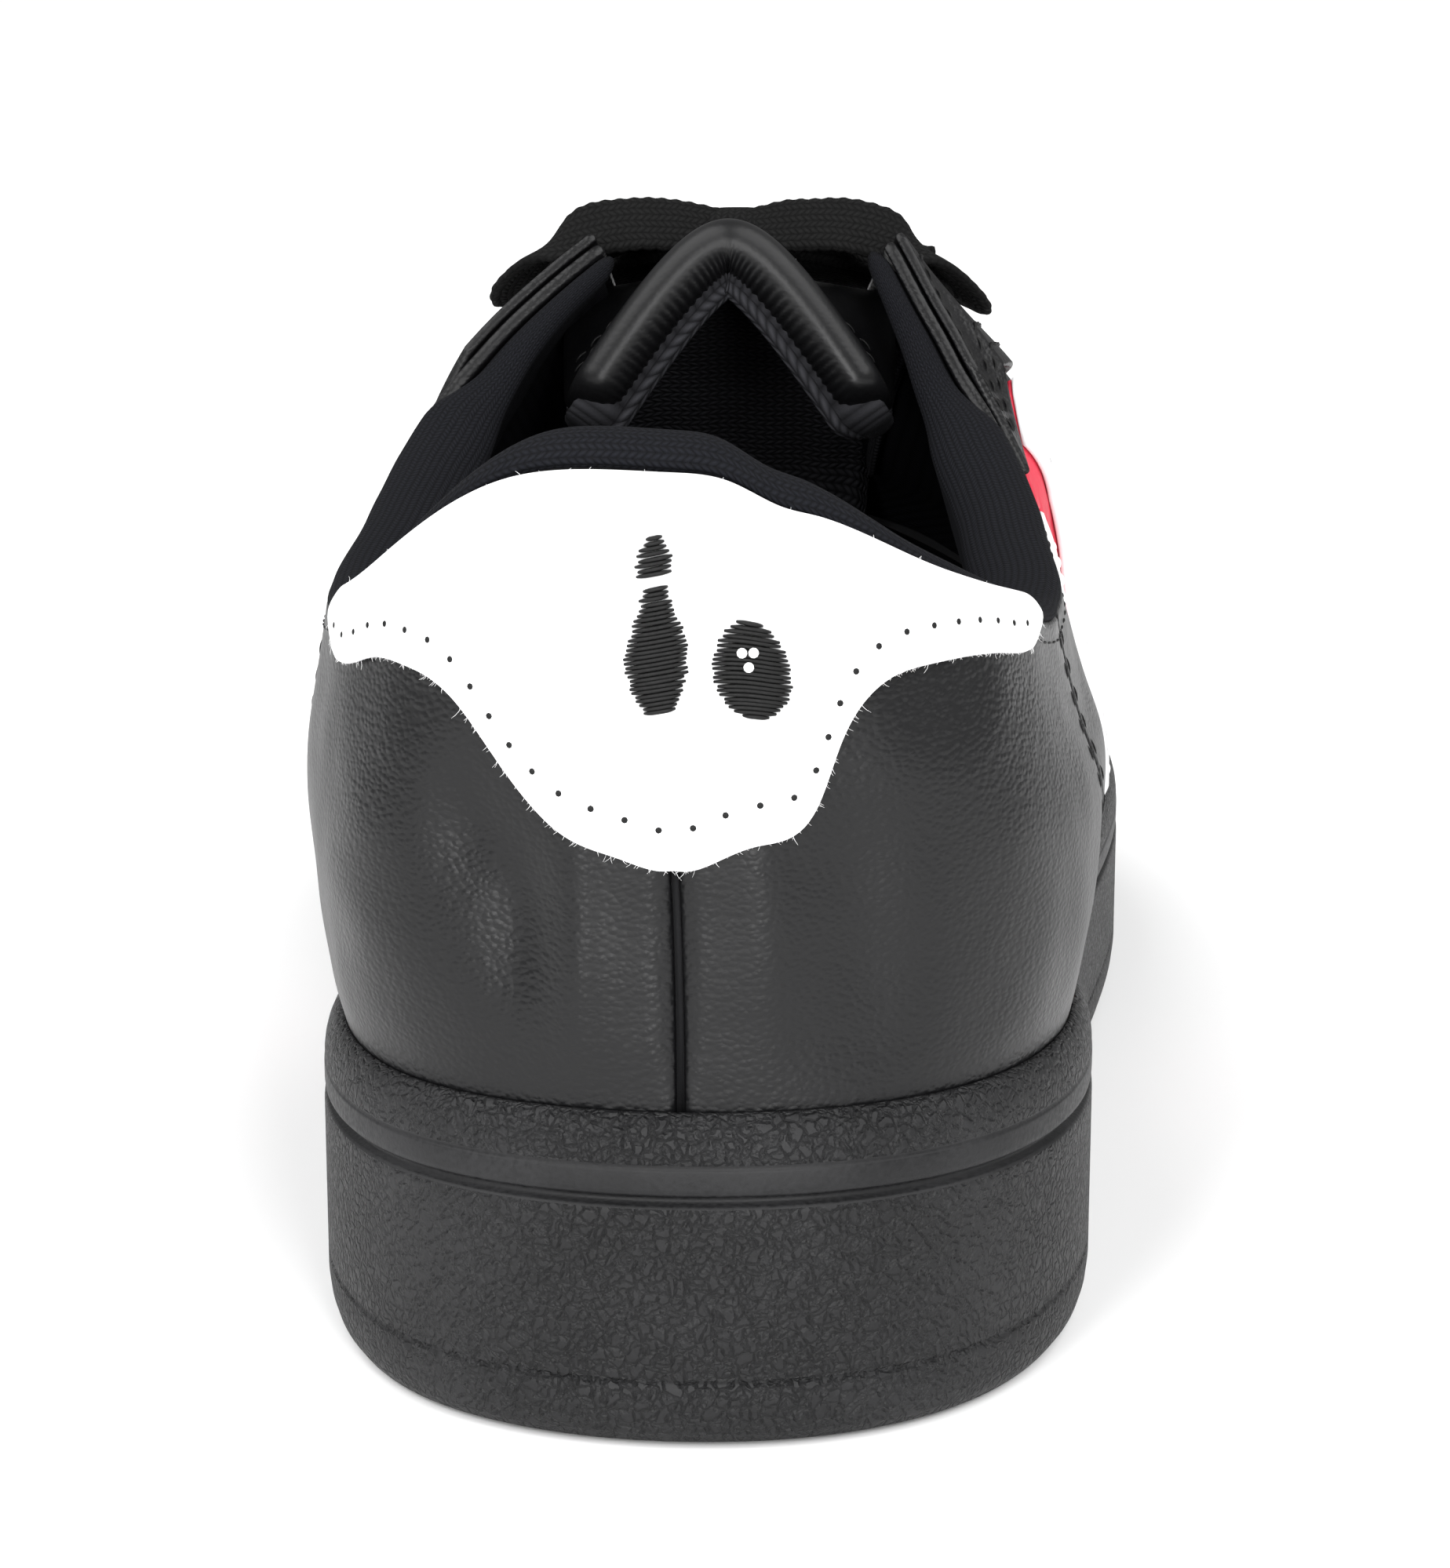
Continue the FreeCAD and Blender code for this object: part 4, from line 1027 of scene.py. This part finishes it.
def makeEyestays():
    look = eyestayLook
    threads = Bundle()
    for side, name in ((1, "Lateral"), (-1, "Medial")):
        a, b = sorted((side * look["near"], side * look["far"]))
        item = upperSheet("eyestay" + name, np.linspace(a, b, 150), look["foot"],
                          lambda s: leatherTop(s) + 0.006, tabOut, layerGap, 34, leather, 4)
        cutters = Bundle()
        for s in eyeletStations():
            middle = skin(side * s, look["eyelet"], 0.5)
            normal = upperNormal(np.array(side * s), np.array(look["eyelet"]))
            cutters.add(*tubeMesh([middle - normal * 2.5, middle, middle + normal * 3],
                                  np.full(3, look["hole"] / 2), 28))
        tool = facesOutward(meshObject("eyeletTool", np.concatenate(cutters.points), cutters.faces, None,
                                       leather))
        cut = item.modifiers.new("eyelets", "BOOLEAN")
        cut.operation, cut.object, cut.solver = "DIFFERENCE", tool, "EXACT"
        bpy.context.view_layer.update()
        made = bpy.data.meshes.new_from_object(item.evaluated_get(bpy.context.evaluated_depsgraph_get()))
        item.modifiers.clear()
        item.data = made
        bpy.data.objects.remove(tool)
        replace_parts(item, "eyestay_" + name.lower())
        stations = np.linspace(look["near"] + 0.06, look["far"] - 0.04, 300) * side
        for rise in (look["foot"] + 0.035, look["foot"] + 0.075):
            stitchRow(threads, *upperLine(stations, np.full(300, rise), tabOut), 2.8, 2.2, 0.2, 0.1)
        edge = leatherTop(stations) - 0.035
        stitchRow(threads, *upperLine(stations, edge, tabOut), 2.8, 2.2, 0.2, 0.1)
        rises = np.linspace(look["foot"] + 0.04, 0.96, 60)
        stitchRow(threads, *upperLine(np.full(60, side * (look["near"] + 0.05)), rises, tabOut), 2.8, 2.2,
                  0.2, 0.1)
    threads.make("eyestayStitches", blackThread, "black_leather")
    print("eyestays made")


def makeSeams():
    threads = Bundle()
    rises = np.linspace(0.02, 0.93, 260)
    for side in (1, -1):
        for offset in (-0.06, 0.06):
            line, normals = upperLine(np.full(260, side * (seams["side"] + offset)), rises, 0.0)
            stitchRow(threads, line, normals, 3.1, 2.4, 0.13, 0.12)
    stations = np.linspace(-3.35, 3.35, 900)
    stations = stations[(np.abs(stations) > 1.74)]
    for half in (stations[stations < 0], stations[stations > 0]):
        stitchRow(threads, *upperLine(half, leatherTop(half) - 0.035, 0.0), 2.8, 2.2, 0.13, 0.12)
    for offset in (0.06, 0.14):
        reach = np.linspace(0.03, 0.96, 200)
        station = seams["vamp"] + offset + 0 * reach
        for side in (1, -1):
            stitchRow(threads, *upperLine(side * station, reach, 0.0), 2.8, 2.2, 0.2, 0.1)
    for along in (0.035, 0.09):
        across = np.linspace(-0.97, 0.97, 300)
        station, rise = toeStation(across, np.full(300, along))
        stitchRow(threads, skin(station, rise, 0.0), upperNormal(station, rise), 2.8, 2.2, 0.2, 0.1)
    threads.make("leatherStitches", blackThread, "black_leather")
    print("seams stitched")


collarLook = {"foam": 6.0, "foot": 0.50, "end": 3.97, "rows": 340, "pressure": 4.0, "cap": 1.6}
skinDepth = panelThickness + layerGap


def foamDepth(station, rise):
    fat = 0.2 + 0.8 * ease((rise - collarLook["foot"]) / 0.3)
    return collarLook["foam"] * fat * (0.22 + 0.78 * ease((4.0 - np.abs(station)) / 0.7))


def collarDepth(station, rise):
    return skinDepth + foamDepth(station, rise) + layerGap


def liningTop(station):
    return 0.46 + 0.515 * ease((np.abs(station) - 3.8) / 0.35)


# the pad starts under the leather, rolls over its top edge (inside it near the throat) and goes down inside
def collarGrid():
    look = collarLook
    stations = np.linspace(-look["end"], look["end"], look["rows"])
    near = ease((np.abs(stations) - 3.42) / 0.25)
    base = leatherTop(stations) + 0.012 - 0.03 * near
    rim, outward = skin(stations, base, 0.0), upperNormal(stations, base)
    rising = onUpper(stations, 1.0) - onUpper(stations, edgeRise + 0.012)
    height = np.linalg.norm(rising, axis=-1, keepdims=True)
    rising = rising / height
    begin = (skinDepth * near)[:, None]
    depth = (collarDepth(stations, base) + 1.1)[:, None]
    centre, radius = rim - outward * (begin + depth) / 2, (depth - begin) / 2
    path = []
    for drop in (0.05, 0.03, 0.012):
        path.append(skin(stations, base - drop, -skinDepth + 0.05))
    path.append(skin(stations, base - 0.007, -0.5 - 1.2 * near))
    for turn in np.linspace(0.0, math.pi, 26):
        path.append(centre + outward * radius * math.cos(turn) + rising * height * math.sin(turn))
    low = np.maximum(look["foot"], liningTop(stations) + 0.04)
    low = np.minimum(low, base - 0.06)
    for part in np.linspace(0, 1, 26)[1:]:
        rise = (base - 0.02) + (low - base + 0.02) * part
        path.append(skin(stations, rise, -(collarDepth(stations, rise) + 1.1)))
    for part in np.linspace(1, 0, 14):
        rise = base - 0.07 + (low - base + 0.07) * part
        path.append(skin(stations, rise, -skinDepth + 0.02))
    return np.stack(path, 1)


def makeCollar():
    look = collarLook
    grid = collarGrid()
    rows, columns = grid.shape[:2]
    middle = grid.mean(1, keepdims=True)
    caps = []
    for end in (0, -1):
        for part in (0.12, 0.35, 0.7):
            caps.append(grid[end] + (middle[end] - grid[end]) * part)
    points = np.concatenate([grid.reshape(-1, 3), *caps, middle[0], middle[-1]])
    faces = gridFaces(rows, columns, closeColumns=True)
    total = rows * columns
    for k, first in enumerate((0, (rows - 1) * columns)):
        rings = [first] + [total + (3 * k + m) * columns for m in range(3)]
        for a, b in zip(rings, rings[1:]):
            faces += [(a + j, b + j, b + (j + 1) % columns, a + (j + 1) % columns) for j in range(columns)]
        tip = total + 6 * columns + k
        faces += [(rings[-1] + j, tip, rings[-1] + (j + 1) % columns) for j in range(columns)]
    run = np.concatenate([[0], np.cumsum(np.linalg.norm(np.diff(grid[:, 16], axis=0), axis=-1))])
    side = np.concatenate([[0], np.cumsum(np.linalg.norm(np.diff(grid[rows // 2], axis=0), axis=-1))])
    flat = np.stack(np.meshgrid(run, side, indexing="ij"), -1).reshape(-1, 2)
    uvs = np.concatenate([flat, np.tile(flat[:columns], (6, 1)), flat[:1], flat[:1]]) * mm
    item = facesOutward(meshObject("collarPad", points, faces, "shoe", knit, uvs=uvs))
    held = [i * columns + j for i in range(rows) for j in range(columns) if j < 5 or j > columns - 15]
    held += list(range(total, len(points)))
    puff(item, held, look["pressure"], look["cap"])
    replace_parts(item, "collar_lining", "collar_padding")
    print("collar made")


# swells a soft piece by cloth simulation, the held points staying put
def puff(item, held, pressure, cap):
    scene = bpy.context.scene
    before = np.zeros(len(item.data.vertices) * 3)
    item.data.vertices.foreach_get("co", before)
    group = item.vertex_groups.new(name="held")
    group.add(held, 1.0, "REPLACE")
    cloth = item.modifiers.new("puff", "CLOTH")
    cloth.settings.use_pressure = True
    cloth.settings.uniform_pressure_force = pressure
    cloth.settings.vertex_group_mass = "held"
    cloth.settings.effector_weights.gravity = 0
    cloth.settings.quality = 5
    cloth.settings.tension_stiffness = 40
    cloth.settings.bending_stiffness = 2
    cloth.point_cache.frame_start, cloth.point_cache.frame_end = 1, 20
    for frameNumber in range(1, 21):
        scene.frame_set(frameNumber)
    shaped = item.evaluated_get(bpy.context.evaluated_depsgraph_get())
    after = np.zeros(len(before))
    shaped.data.vertices.foreach_get("co", after)
    item.modifiers.clear()
    item.vertex_groups.clear()
    scene.frame_set(1)
    move = (after - before).reshape(-1, 3)
    size = np.linalg.norm(move, axis=-1, keepdims=True)
    move *= np.minimum(1, cap * mm / np.maximum(size, 1e-9))
    item.data.vertices.foreach_set("co", (before.reshape(-1, 3) + move).ravel())
    item.data.update()
    print("puffed", item.name, round(float(size.max() * 1000), 2), "mm at most")


def liningDepth(station, rise):
    return -(skinDepth + (1.0 + layerGap) * ease((2.9 - np.abs(station)) / 0.5))


def makeLinings():
    for side, name in ((1, "Lateral"), (-1, "Medial")):
        a, b = sorted((side * 0.03, side * (seams["vamp"] - 0.02)))
        item = upperSheet("lining" + name, np.linspace(a, b, 150), lambda s: feet(s) + 0.015, liningTop,
                          liningDepth, lambda s, r: liningDepth(s, r) - 1.1, 90, knit, 6)
        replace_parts(item, "quarter_lining_" + name.lower())
    print("linings made")


tongueLook = {"foot": (-0.5, 33, 65.4), "head": (2.5, -54.5, 110.2), "angle": 78, "deep": 5.6, "fold": 1.8,
              "swell": 0.8, "pleats": 190, "pleatDepth": 0.10, "top": 0.955, "length": 97.4,
              "roll": (0.072, 2.6), "thin": 2.4, "hug": 0.91}


def onTongue(across, along, out):
    across, along, out = np.broadcast_arrays(np.asarray(across, float), np.asarray(along, float),
                                             np.asarray(out, float))
    foot, head = np.array(tongueLook["foot"], float), np.array(tongueLook["head"], float)
    angle = math.radians(tongueLook["angle"])

    def face(a, b):
        centre = foot + (head - foot) * b[..., None]
        centre[..., 2] += 6 * np.sin(math.pi * b)
        turn = a * angle
        hug = 1 - tongueLook["hug"] * ease(b / 0.2) * ease((0.9 - b) / 0.22)     # it lies up against the lace
        half, drop = 19 + 2.5 * b, (9 + 15 * b) * hug
        side, crown = np.sin(turn) / math.sin(angle), 0.85 - 0.45 * b
        centre[..., 0] += half * side
        centre[..., 2] -= drop * (np.hypot(side, crown) - crown) / (np.hypot(1, crown) - crown)
        return centre

    step = 0.01
    normal = unit(np.cross(face(across + step, along) - face(across - step, along),
                           face(across, along - step) - face(across, along + step)))
    return face(across, along) + normal * out[..., None]


# the tongue gets thinner towards its two sides, and its top corners are rounded
def tongueTaper(across):
    return 1 - 0.45 * ease((np.abs(across) - 0.74) / 0.26)


def tongueCorner(across):
    return 1 - 0.17 * np.clip((np.abs(across) - 0.72) / 0.28, 0, 1) ** 2.2


# along the outer face, over the top edge and down the inner face: place along, depth, facing
def tonguePath():
    look = tongueLook
    deep, top, length = look["deep"], look["top"], look["length"]
    path = [(along, 0.0, 1.0) for along in np.linspace(0.0, top, 60)]
    for turn in np.linspace(0, math.pi, 18)[1:]:
        path.append((top + deep * 0.62 * math.sin(turn) / length, deep / 2 * (math.cos(turn) - 1),
                     math.cos(turn)))
    return path + [(top - part * look["fold"] / length, -deep, -1.0) for part in np.linspace(0, 1, 8)[1:]]


def makeTongue():
    look = tongueLook
    across = np.linspace(-1, 1, 460)
    side = np.abs(across)
    narrow = lambda along: across * (1 - 0.11 * ease(along))
    outer, inner = [], []
    for along, out, facing in tonguePath():
        bulge = look["swell"] * 0.5 * ease((along - 0.80) / 0.12) * (1 - 0.6 * side ** 4)
        pleat = (look["pleatDepth"] * ease((0.4 - facing) / 1.2)
                 * np.sin(across * look["pleats"] + 0.8 * np.sin(across * 31)))
        lift = (bulge + pleat) * facing * (1 - 0.5 * ease((side - 0.93) / 0.07))
        over = math.sqrt(max(0.0, 1 - facing * facing))
        corner, taper = tongueCorner(across), tongueTaper(across)
        outer.append(onTongue(narrow(along), (along + 0.004 * over) * corner, (out + lift) * taper))
        inner.append(onTongue(narrow(along), (along - 0.006 * over) * corner, (out + lift - facing) * taper))
    outer, inner = np.array(outer).transpose(1, 0, 2), np.array(inner).transpose(1, 0, 2)
    cover = sheetPiece("tongueCover", outer, inner, None, softLeather)
    tonguePoint(0.0)
    tonguePoint(0.12)
    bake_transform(cover)
    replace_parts(cover, "tongue_outer")
    wide, along = np.meshgrid(np.linspace(-0.985, 0.985, 110), np.linspace(0, 0.948, 150), indexing="ij")
    wide = wide * (1 - 0.11 * ease(along))
    rollWide, rollHigh = look["roll"]
    depth = look["deep"] - 0.3 - look["thin"] * ease((0.95 - rollWide - along) / 0.015)
    depth = depth + rollHigh * np.sin(math.pi * np.clip((0.955 - along) / rollWide, 0, 1)) ** 0.7
    depth = depth + 0.25 * np.sin(wide * 9) ** 2 * ease((0.86 - along) / 0.1)
    high = onTongue(wide, along * tongueCorner(wide), -1.15 * tongueTaper(wide))
    low = onTongue(wide, along * tongueCorner(wide), -depth * tongueTaper(wide))
    pad = sheetPiece("tonguePad", high, low, None, meshKnit, 5)
    tonguePoint(0.0)
    tonguePoint(0.12)
    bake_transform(pad)
    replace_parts(pad, "tongue_lining", "tongue_foam")
    threads = Bundle()
    for along, out, push in ((look["top"] - 0.8 * look["fold"] / look["length"], -look["deep"] - 0.1, -1),
                             (0.83, 0.1, 1), (0.845, 0.1, 1)):
        reach = np.linspace(-0.78, 0.78, 260)
        line = onTongue(reach, along * tongueCorner(reach), out)
        ahead = onTongue(reach, along * tongueCorner(reach), out + push) - line
        stitchRow(threads, line, ahead, 2.7, 2.1, 0.16, 0.05)
    threads.make("tongueStitches", blackThread, "black_leather", "tongue")
    makeGussets()
    print("tongue made")


gussetLook = {"along": (0.22, 0.76), "across": 0.9, "stations": (5.6, 4.4), "rise": 0.88, "sag": 2.0,
              "thick": 0.8}


# the stretchy wings that join the tongue's sides to the lining
def makeGussets():
    look = gussetLook
    for side, name in ((1, "Lateral"), (-1, "Medial")):
        part = np.linspace(0, 1, 60)
        along = look["along"][0] + (look["along"][1] - look["along"][0]) * part
        station = look["stations"][0] + (look["stations"][1] - look["stations"][0]) * part
        inside = onTongue(side * look["across"], along, -1.4)
        outside = skin(side * station, np.full(60, look["rise"]), -skinDepth - 1.5)
        across = np.linspace(0, 1, 30)[None, :, None]
        face = inside[:, None] + (outside - inside)[:, None] * across
        face[..., 2] -= look["sag"] * np.sin(math.pi * across[..., 0])
        normal = unit(np.cross(np.gradient(face, axis=0), np.gradient(face, axis=1)))
        item = sheetPiece("gusset" + name, face + normal * look["thick"] / 2,
                          face - normal * look["thick"] / 2, None,
                          meshKnit)
        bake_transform(item)


def tonguePoint(along):
    return tuple(float(v) * mm for v in onTongue(0.0, along, 0.0))


laceRoutes = {
    "LoopLateral": [(3.2, -33, 107.4), (10, -34.6, 108.2), (17, -35, 108.2), (23.5, -34, 106),
                    (28.8, -31, 102), (31.2, -26, 98.6), (28.6, -21, 99.6), (20.5, -21, 104),
                    (12, -25, 106.6), (4.5, -28.5, 107.2)],
    "LoopMedial": [(0.8, -33, 107.4), (-6, -34.6, 108.3), (-12.5, -35, 108.1), (-18.5, -34, 106.4),
                   (-23.4, -31, 102.8), (-25.4, -26, 99.6), (-22.8, -21, 100), (-15.5, -21, 104),
                   (-8, -25, 106.6), (-0.6, -28.5, 107.2)],
    "TailLateral": [(4.2, -24.2, 107.4), (9.5, -21.5, 107), (15.5, -17.5, 105.5), (21, -13, 102),
                    (24.6, -7, 96.5), (25.6, 0, 91), (27, 8, 85), (30, 14.5, 79)],
    "TailMedial": [(-0.2, -24.2, 107.4), (-5, -21.5, 107), (-10.5, -17.5, 105.4), (-16, -13, 102),
                   (-19.8, -7, 96.4), (-21.4, 0, 90.8), (-23.4, 8.5, 85), (-26.8, 15.5, 79)],
}
laceLook = {"width": 7.5, "thick": 1.4, "ripple": 0.10, "ripplePitch": 1.7, "barArch": (2.6, 3.0, 2.6)}


# the smooth line through a lace's route, in metres
def routeLine(name):
    curve = bpy.data.curves.new("route" + name, "CURVE")
    curve.dimensions = "3D"
    curve.resolution_u = 24
    spline = curve.splines.new("NURBS")
    spline.points.add(len(laceRoutes[name]) - 1)
    for point, place in zip(spline.points, laceRoutes[name]):
        point.co = (*(Vector(place) * mm), 1)
    spline.order_u = 3
    spline.use_endpoint_u = True
    holder = bpy.data.objects.new("route" + name, curve)
    bpy.context.scene.collection.objects.link(holder)
    mesh = bpy.data.meshes.new_from_object(holder)
    line = np.array([v.co[:] for v in mesh.vertices])
    bpy.data.objects.remove(holder)
    bpy.data.meshes.remove(mesh)
    return line


# the flat lace's section: across and up from -1 to 1, with a soft rounded edge
def ribbonSection(count=28):
    turn = np.linspace(0, 2 * math.pi, count, endpoint=False)
    return (np.sign(np.cos(turn)) * np.abs(np.cos(turn)) ** 0.55,
            np.sign(np.sin(turn)) * np.abs(np.sin(turn)) ** 0.75)


# line in mm, across and up unit vectors, width and thick per point; returns points, faces, uvs
def ribbonMesh(line, across, up, width, thick, closed=False):
    look = laceLook
    n = len(line)
    wide, high = ribbonSection()
    run = np.concatenate([[0], np.cumsum(np.linalg.norm(np.diff(line, axis=0), axis=-1))])
    ripple = 1 + look["ripple"] * np.sin(run * 2 * math.pi / look["ripplePitch"]) / (look["width"] / 2)
    crown = 0.25 * np.sin(run * 0.9) * (1 if not closed else 0)
    halfWide = (width / 2 * ripple)[:, None, None]
    ring = (across[:, None] * wide[None, :, None] * halfWide
            + up[:, None] * (high[None, :, None] * (thick / 2)[:, None, None]))
    ring = ring + up[:, None] * (crown[:, None] * (wide[None, :] ** 2 - 0.4))[..., None] * 0.5
    body = line[:, None] + ring
    count = len(wide)
    points = body.reshape(-1, 3)
    faces = gridFaces(n, count, closeRows=closed, closeColumns=True, flip=True)
    uv = np.stack([np.repeat(run[:, None], count, 1), np.repeat((wide * look["width"] / 2)[None, :], n, 0)],
                  -1).reshape(-1, 2)
    if not closed:
        points = np.concatenate([points, line[:1], line[-1:]])
        uv = np.concatenate([uv, [[0, 0]], [[run[-1], 0]]])
        faces += [(n * count, (j + 1) % count, j) for j in range(count)]
        faces += [(n * count + 1, (n - 1) * count + j, (n - 1) * count + (j + 1) % count)
                  for j in range(count)]
    return points, faces, uv * mm


def laceFrame(line, hint):
    along = unit(np.gradient(line, axis=0))
    hint = np.asarray(hint, float) * np.ones_like(line)
    across = unit(hint - along * np.sum(hint * along, -1, keepdims=True))
    return across, np.cross(along, across)


def refine(line, count):
    run = np.concatenate([[0], np.cumsum(np.linalg.norm(np.diff(line, axis=0), axis=-1))])
    return rowAt(line, np.interp(np.linspace(0, run[-1], count), run, np.arange(len(line))))


def makeLaces():
    look = laceLook
    tips = {"TailLateral": "aglet_lateral", "TailMedial": "aglet_medial"}
    for name in laceRoutes:
        path = routeLine(name)
        line = refine(path / mm, 170)
        part = np.linspace(0, 1, 170)
        if name in tips:
            hint = (0, 0.95, 0.45)
            shrink = ease((part - 0.84) / 0.14)
            width = look["width"] * (1 - 0.60 * shrink) * (1 - 0.25 * ease((0.1 - part) / 0.1))
            thick = look["thick"] * (1 + 0.9 * shrink)
        else:
            outer = ease((np.abs(line[:, 0] - 2) - 10) / 15)
            hint = np.stack([0.9 * outer * (1 if name == "LoopLateral" else -1), -0.62 * (1 - outer),
                             -0.78 + 0.2 * outer], -1)
            narrow = 0.18 * (ease((0.1 - part) / 0.1) + ease((part - 0.88) / 0.12))
            width, thick = look["width"] * (1 - narrow), look["thick"] * np.ones(170)
        across, up = laceFrame(line, hint)
        points, faces, uvs = ribbonMesh(line, across, up, width, thick)
        item = facesOutward(meshObject("lace" + name, points, faces, "shoe", laceWeave,
                                       uvs=uvs))
        side = "lateral" if "Lateral" in name else "medial"
        if name in tips:
            tip = makeAglet(name, line)
            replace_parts(item, "lace_tail_" + side)
        else:
            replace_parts(item, "lace_loop_" + side)
    makeKnot()
    makeBars()
    print("laces made")


def makeAglet(name, line):
    end, along = line[-1], unit(line[-1] - line[-6])
    where = np.array([-0.6, 0, 0.25, 2.2, 2.5, 2.8, 3.1, 8, 13, 14.6, 15.6, 16.0])
    radii = np.array([1.5, 1.72, 1.8, 1.8, 1.62, 1.62, 1.8, 1.78, 1.72, 1.6, 1.2, 0.5])
    points, faces = tubeMesh(end + along * where[:, None], radii, 20, 0.92)
    item = facesOutward(meshObject("agletTip" + name[4:], points, faces, "shoe", aglet))
    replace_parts(item, "aglet_" + name[4:].lower())
    return item


# the middle wrap of the bow, with the strands bunched inside it
def makeKnot():
    centre = np.array((2, -30, 107.3))
    turn = np.linspace(0, 2 * math.pi, 90, endpoint=False)
    line = centre + np.stack([0.5 * np.sin(turn), 4.0 * np.cos(turn),
                              1.7 * np.sin(turn) + 0.4 * np.sin(turn) ** 2], -1)
    up = unit(np.stack([0 * turn, np.cos(turn) / 4.4, np.sin(turn) / 2.0], -1))
    across = np.tile([[1.0, 0.12, 0]], (90, 1))
    points, faces, uvs = ribbonMesh(line, unit(across), up, np.full(90, 6.4), np.full(90, 1.3), closed=True)
    item = facesOutward(meshObject("laceKnotWrap", points, faces, "shoe", laceWeave, uvs=uvs))
    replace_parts(item, "lace_knot")
    core = Bundle()
    for shift in (-1.6, 1.4):
        line = centre + np.stack([np.linspace(-4.6, 4.6, 20), shift + 0.4 * np.sin(np.linspace(0, 5, 20)),
                                  0.3 * np.cos(np.linspace(0, 4, 20))], -1)
        radii = np.full(20, 1.5) * np.sqrt(np.clip(1.02 - np.linspace(-1, 1, 20) ** 2, 0.05, 1)) + 0.2
        core.add(*tubeMesh(line, radii, 10, 0.8))
    core.make("laceKnotCore", laceWeave, "lace_weave")


def makeBars():
    look = laceLook
    lift = tabOut + 2 * layerGap + look["thick"] / 2
    allPoints, allFaces, allUvs, count = [], [], [], 0
    for k, s in enumerate(eyeletStations()):
        halves = []
        for side in (1, -1):
            rises = np.array([0.905, 0.93, 0.96, 0.99])
            halves.append(skin(np.full(4, side * s), rises, lift))
        outer, inner = halves
        top = max(outer[-1][2], inner[-1][2]) + 0.5
        middle = outer[-1] + (inner[-1] - outer[-1]) * np.array([0.2, 0.5, 0.8])[:, None]
        middle[:, 2] = top + np.array(look["barArch"]) * max(0.0, 1 - 0.35 * k)
        ends = [skin(side * s, 0.893, lift - 2.4)[None] for side in (1, -1)]
        route = np.concatenate([ends[0], outer, middle, inner[::-1], ends[1]])
        steps = np.arange(len(route))
        smooth = splineThrough(np.concatenate([steps[:, None], route], 1))
        line = refine(smooth(np.linspace(0, len(route) - 1, 200)), 120)
        ahead = ((onUpper(s + 0.1, 0.9) - onUpper(s - 0.1, 0.9))
                 + (onUpper(-s - 0.1, 0.9) - onUpper(0.1 - s, 0.9)))
        across, up = laceFrame(line, ahead)
        part = np.linspace(0, 1, 120)
        pinch = ease((0.09 - part) / 0.09) + ease((part - 0.91) / 0.09)
        points, faces, uvs = ribbonMesh(line, across, up, look["width"] * (1 - 0.45 * pinch),
                                        np.full(120, look["thick"]))
        allPoints.append(points)
        allUvs.append(uvs)
        allFaces += [tuple(v + count for v in face) for face in faces]
        count += len(points)
    item = facesOutward(meshObject("laceBars", np.concatenate(allPoints), allFaces, "shoe", laceWeave,
                                   uvs=np.concatenate(allUvs)))
    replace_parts(item, "lace_bars")


def dressInside():
    foam = speckMaterial("soleFoam", (0.05, 0.05, 0.055), (0.09, 0.09, 0.095), 900, 0.8)
    fibreBoard = speckMaterial("fibreBoard", (0.20, 0.15, 0.10), (0.30, 0.24, 0.17), 1300, 0.8)
    stiff = speckMaterial("stiffenerFelt", (0.004, 0.004, 0.005), (0.010, 0.010, 0.011), 1100, 0.85)
    coats = {"midsole_filler": foam, "insole_board": fibreBoard, "heel_counter": stiff, "toe_puff": stiff,
             "vamp_lining": stiff}
    for name, coat in coats.items():
        for slot in nodes[name].material_slots:
            slot.material = coat
    print("inside dressed")


makeCamera()
makeLaces()
makeStudio()
makeSole()
makeSock()
makePanels()
makeTab()
makeTabTrim()
makeBadge()
makeStripes()
makeEyestays()
makeSeams()
makeLinings()
makeCollar()
makeTongue()
dressInside()
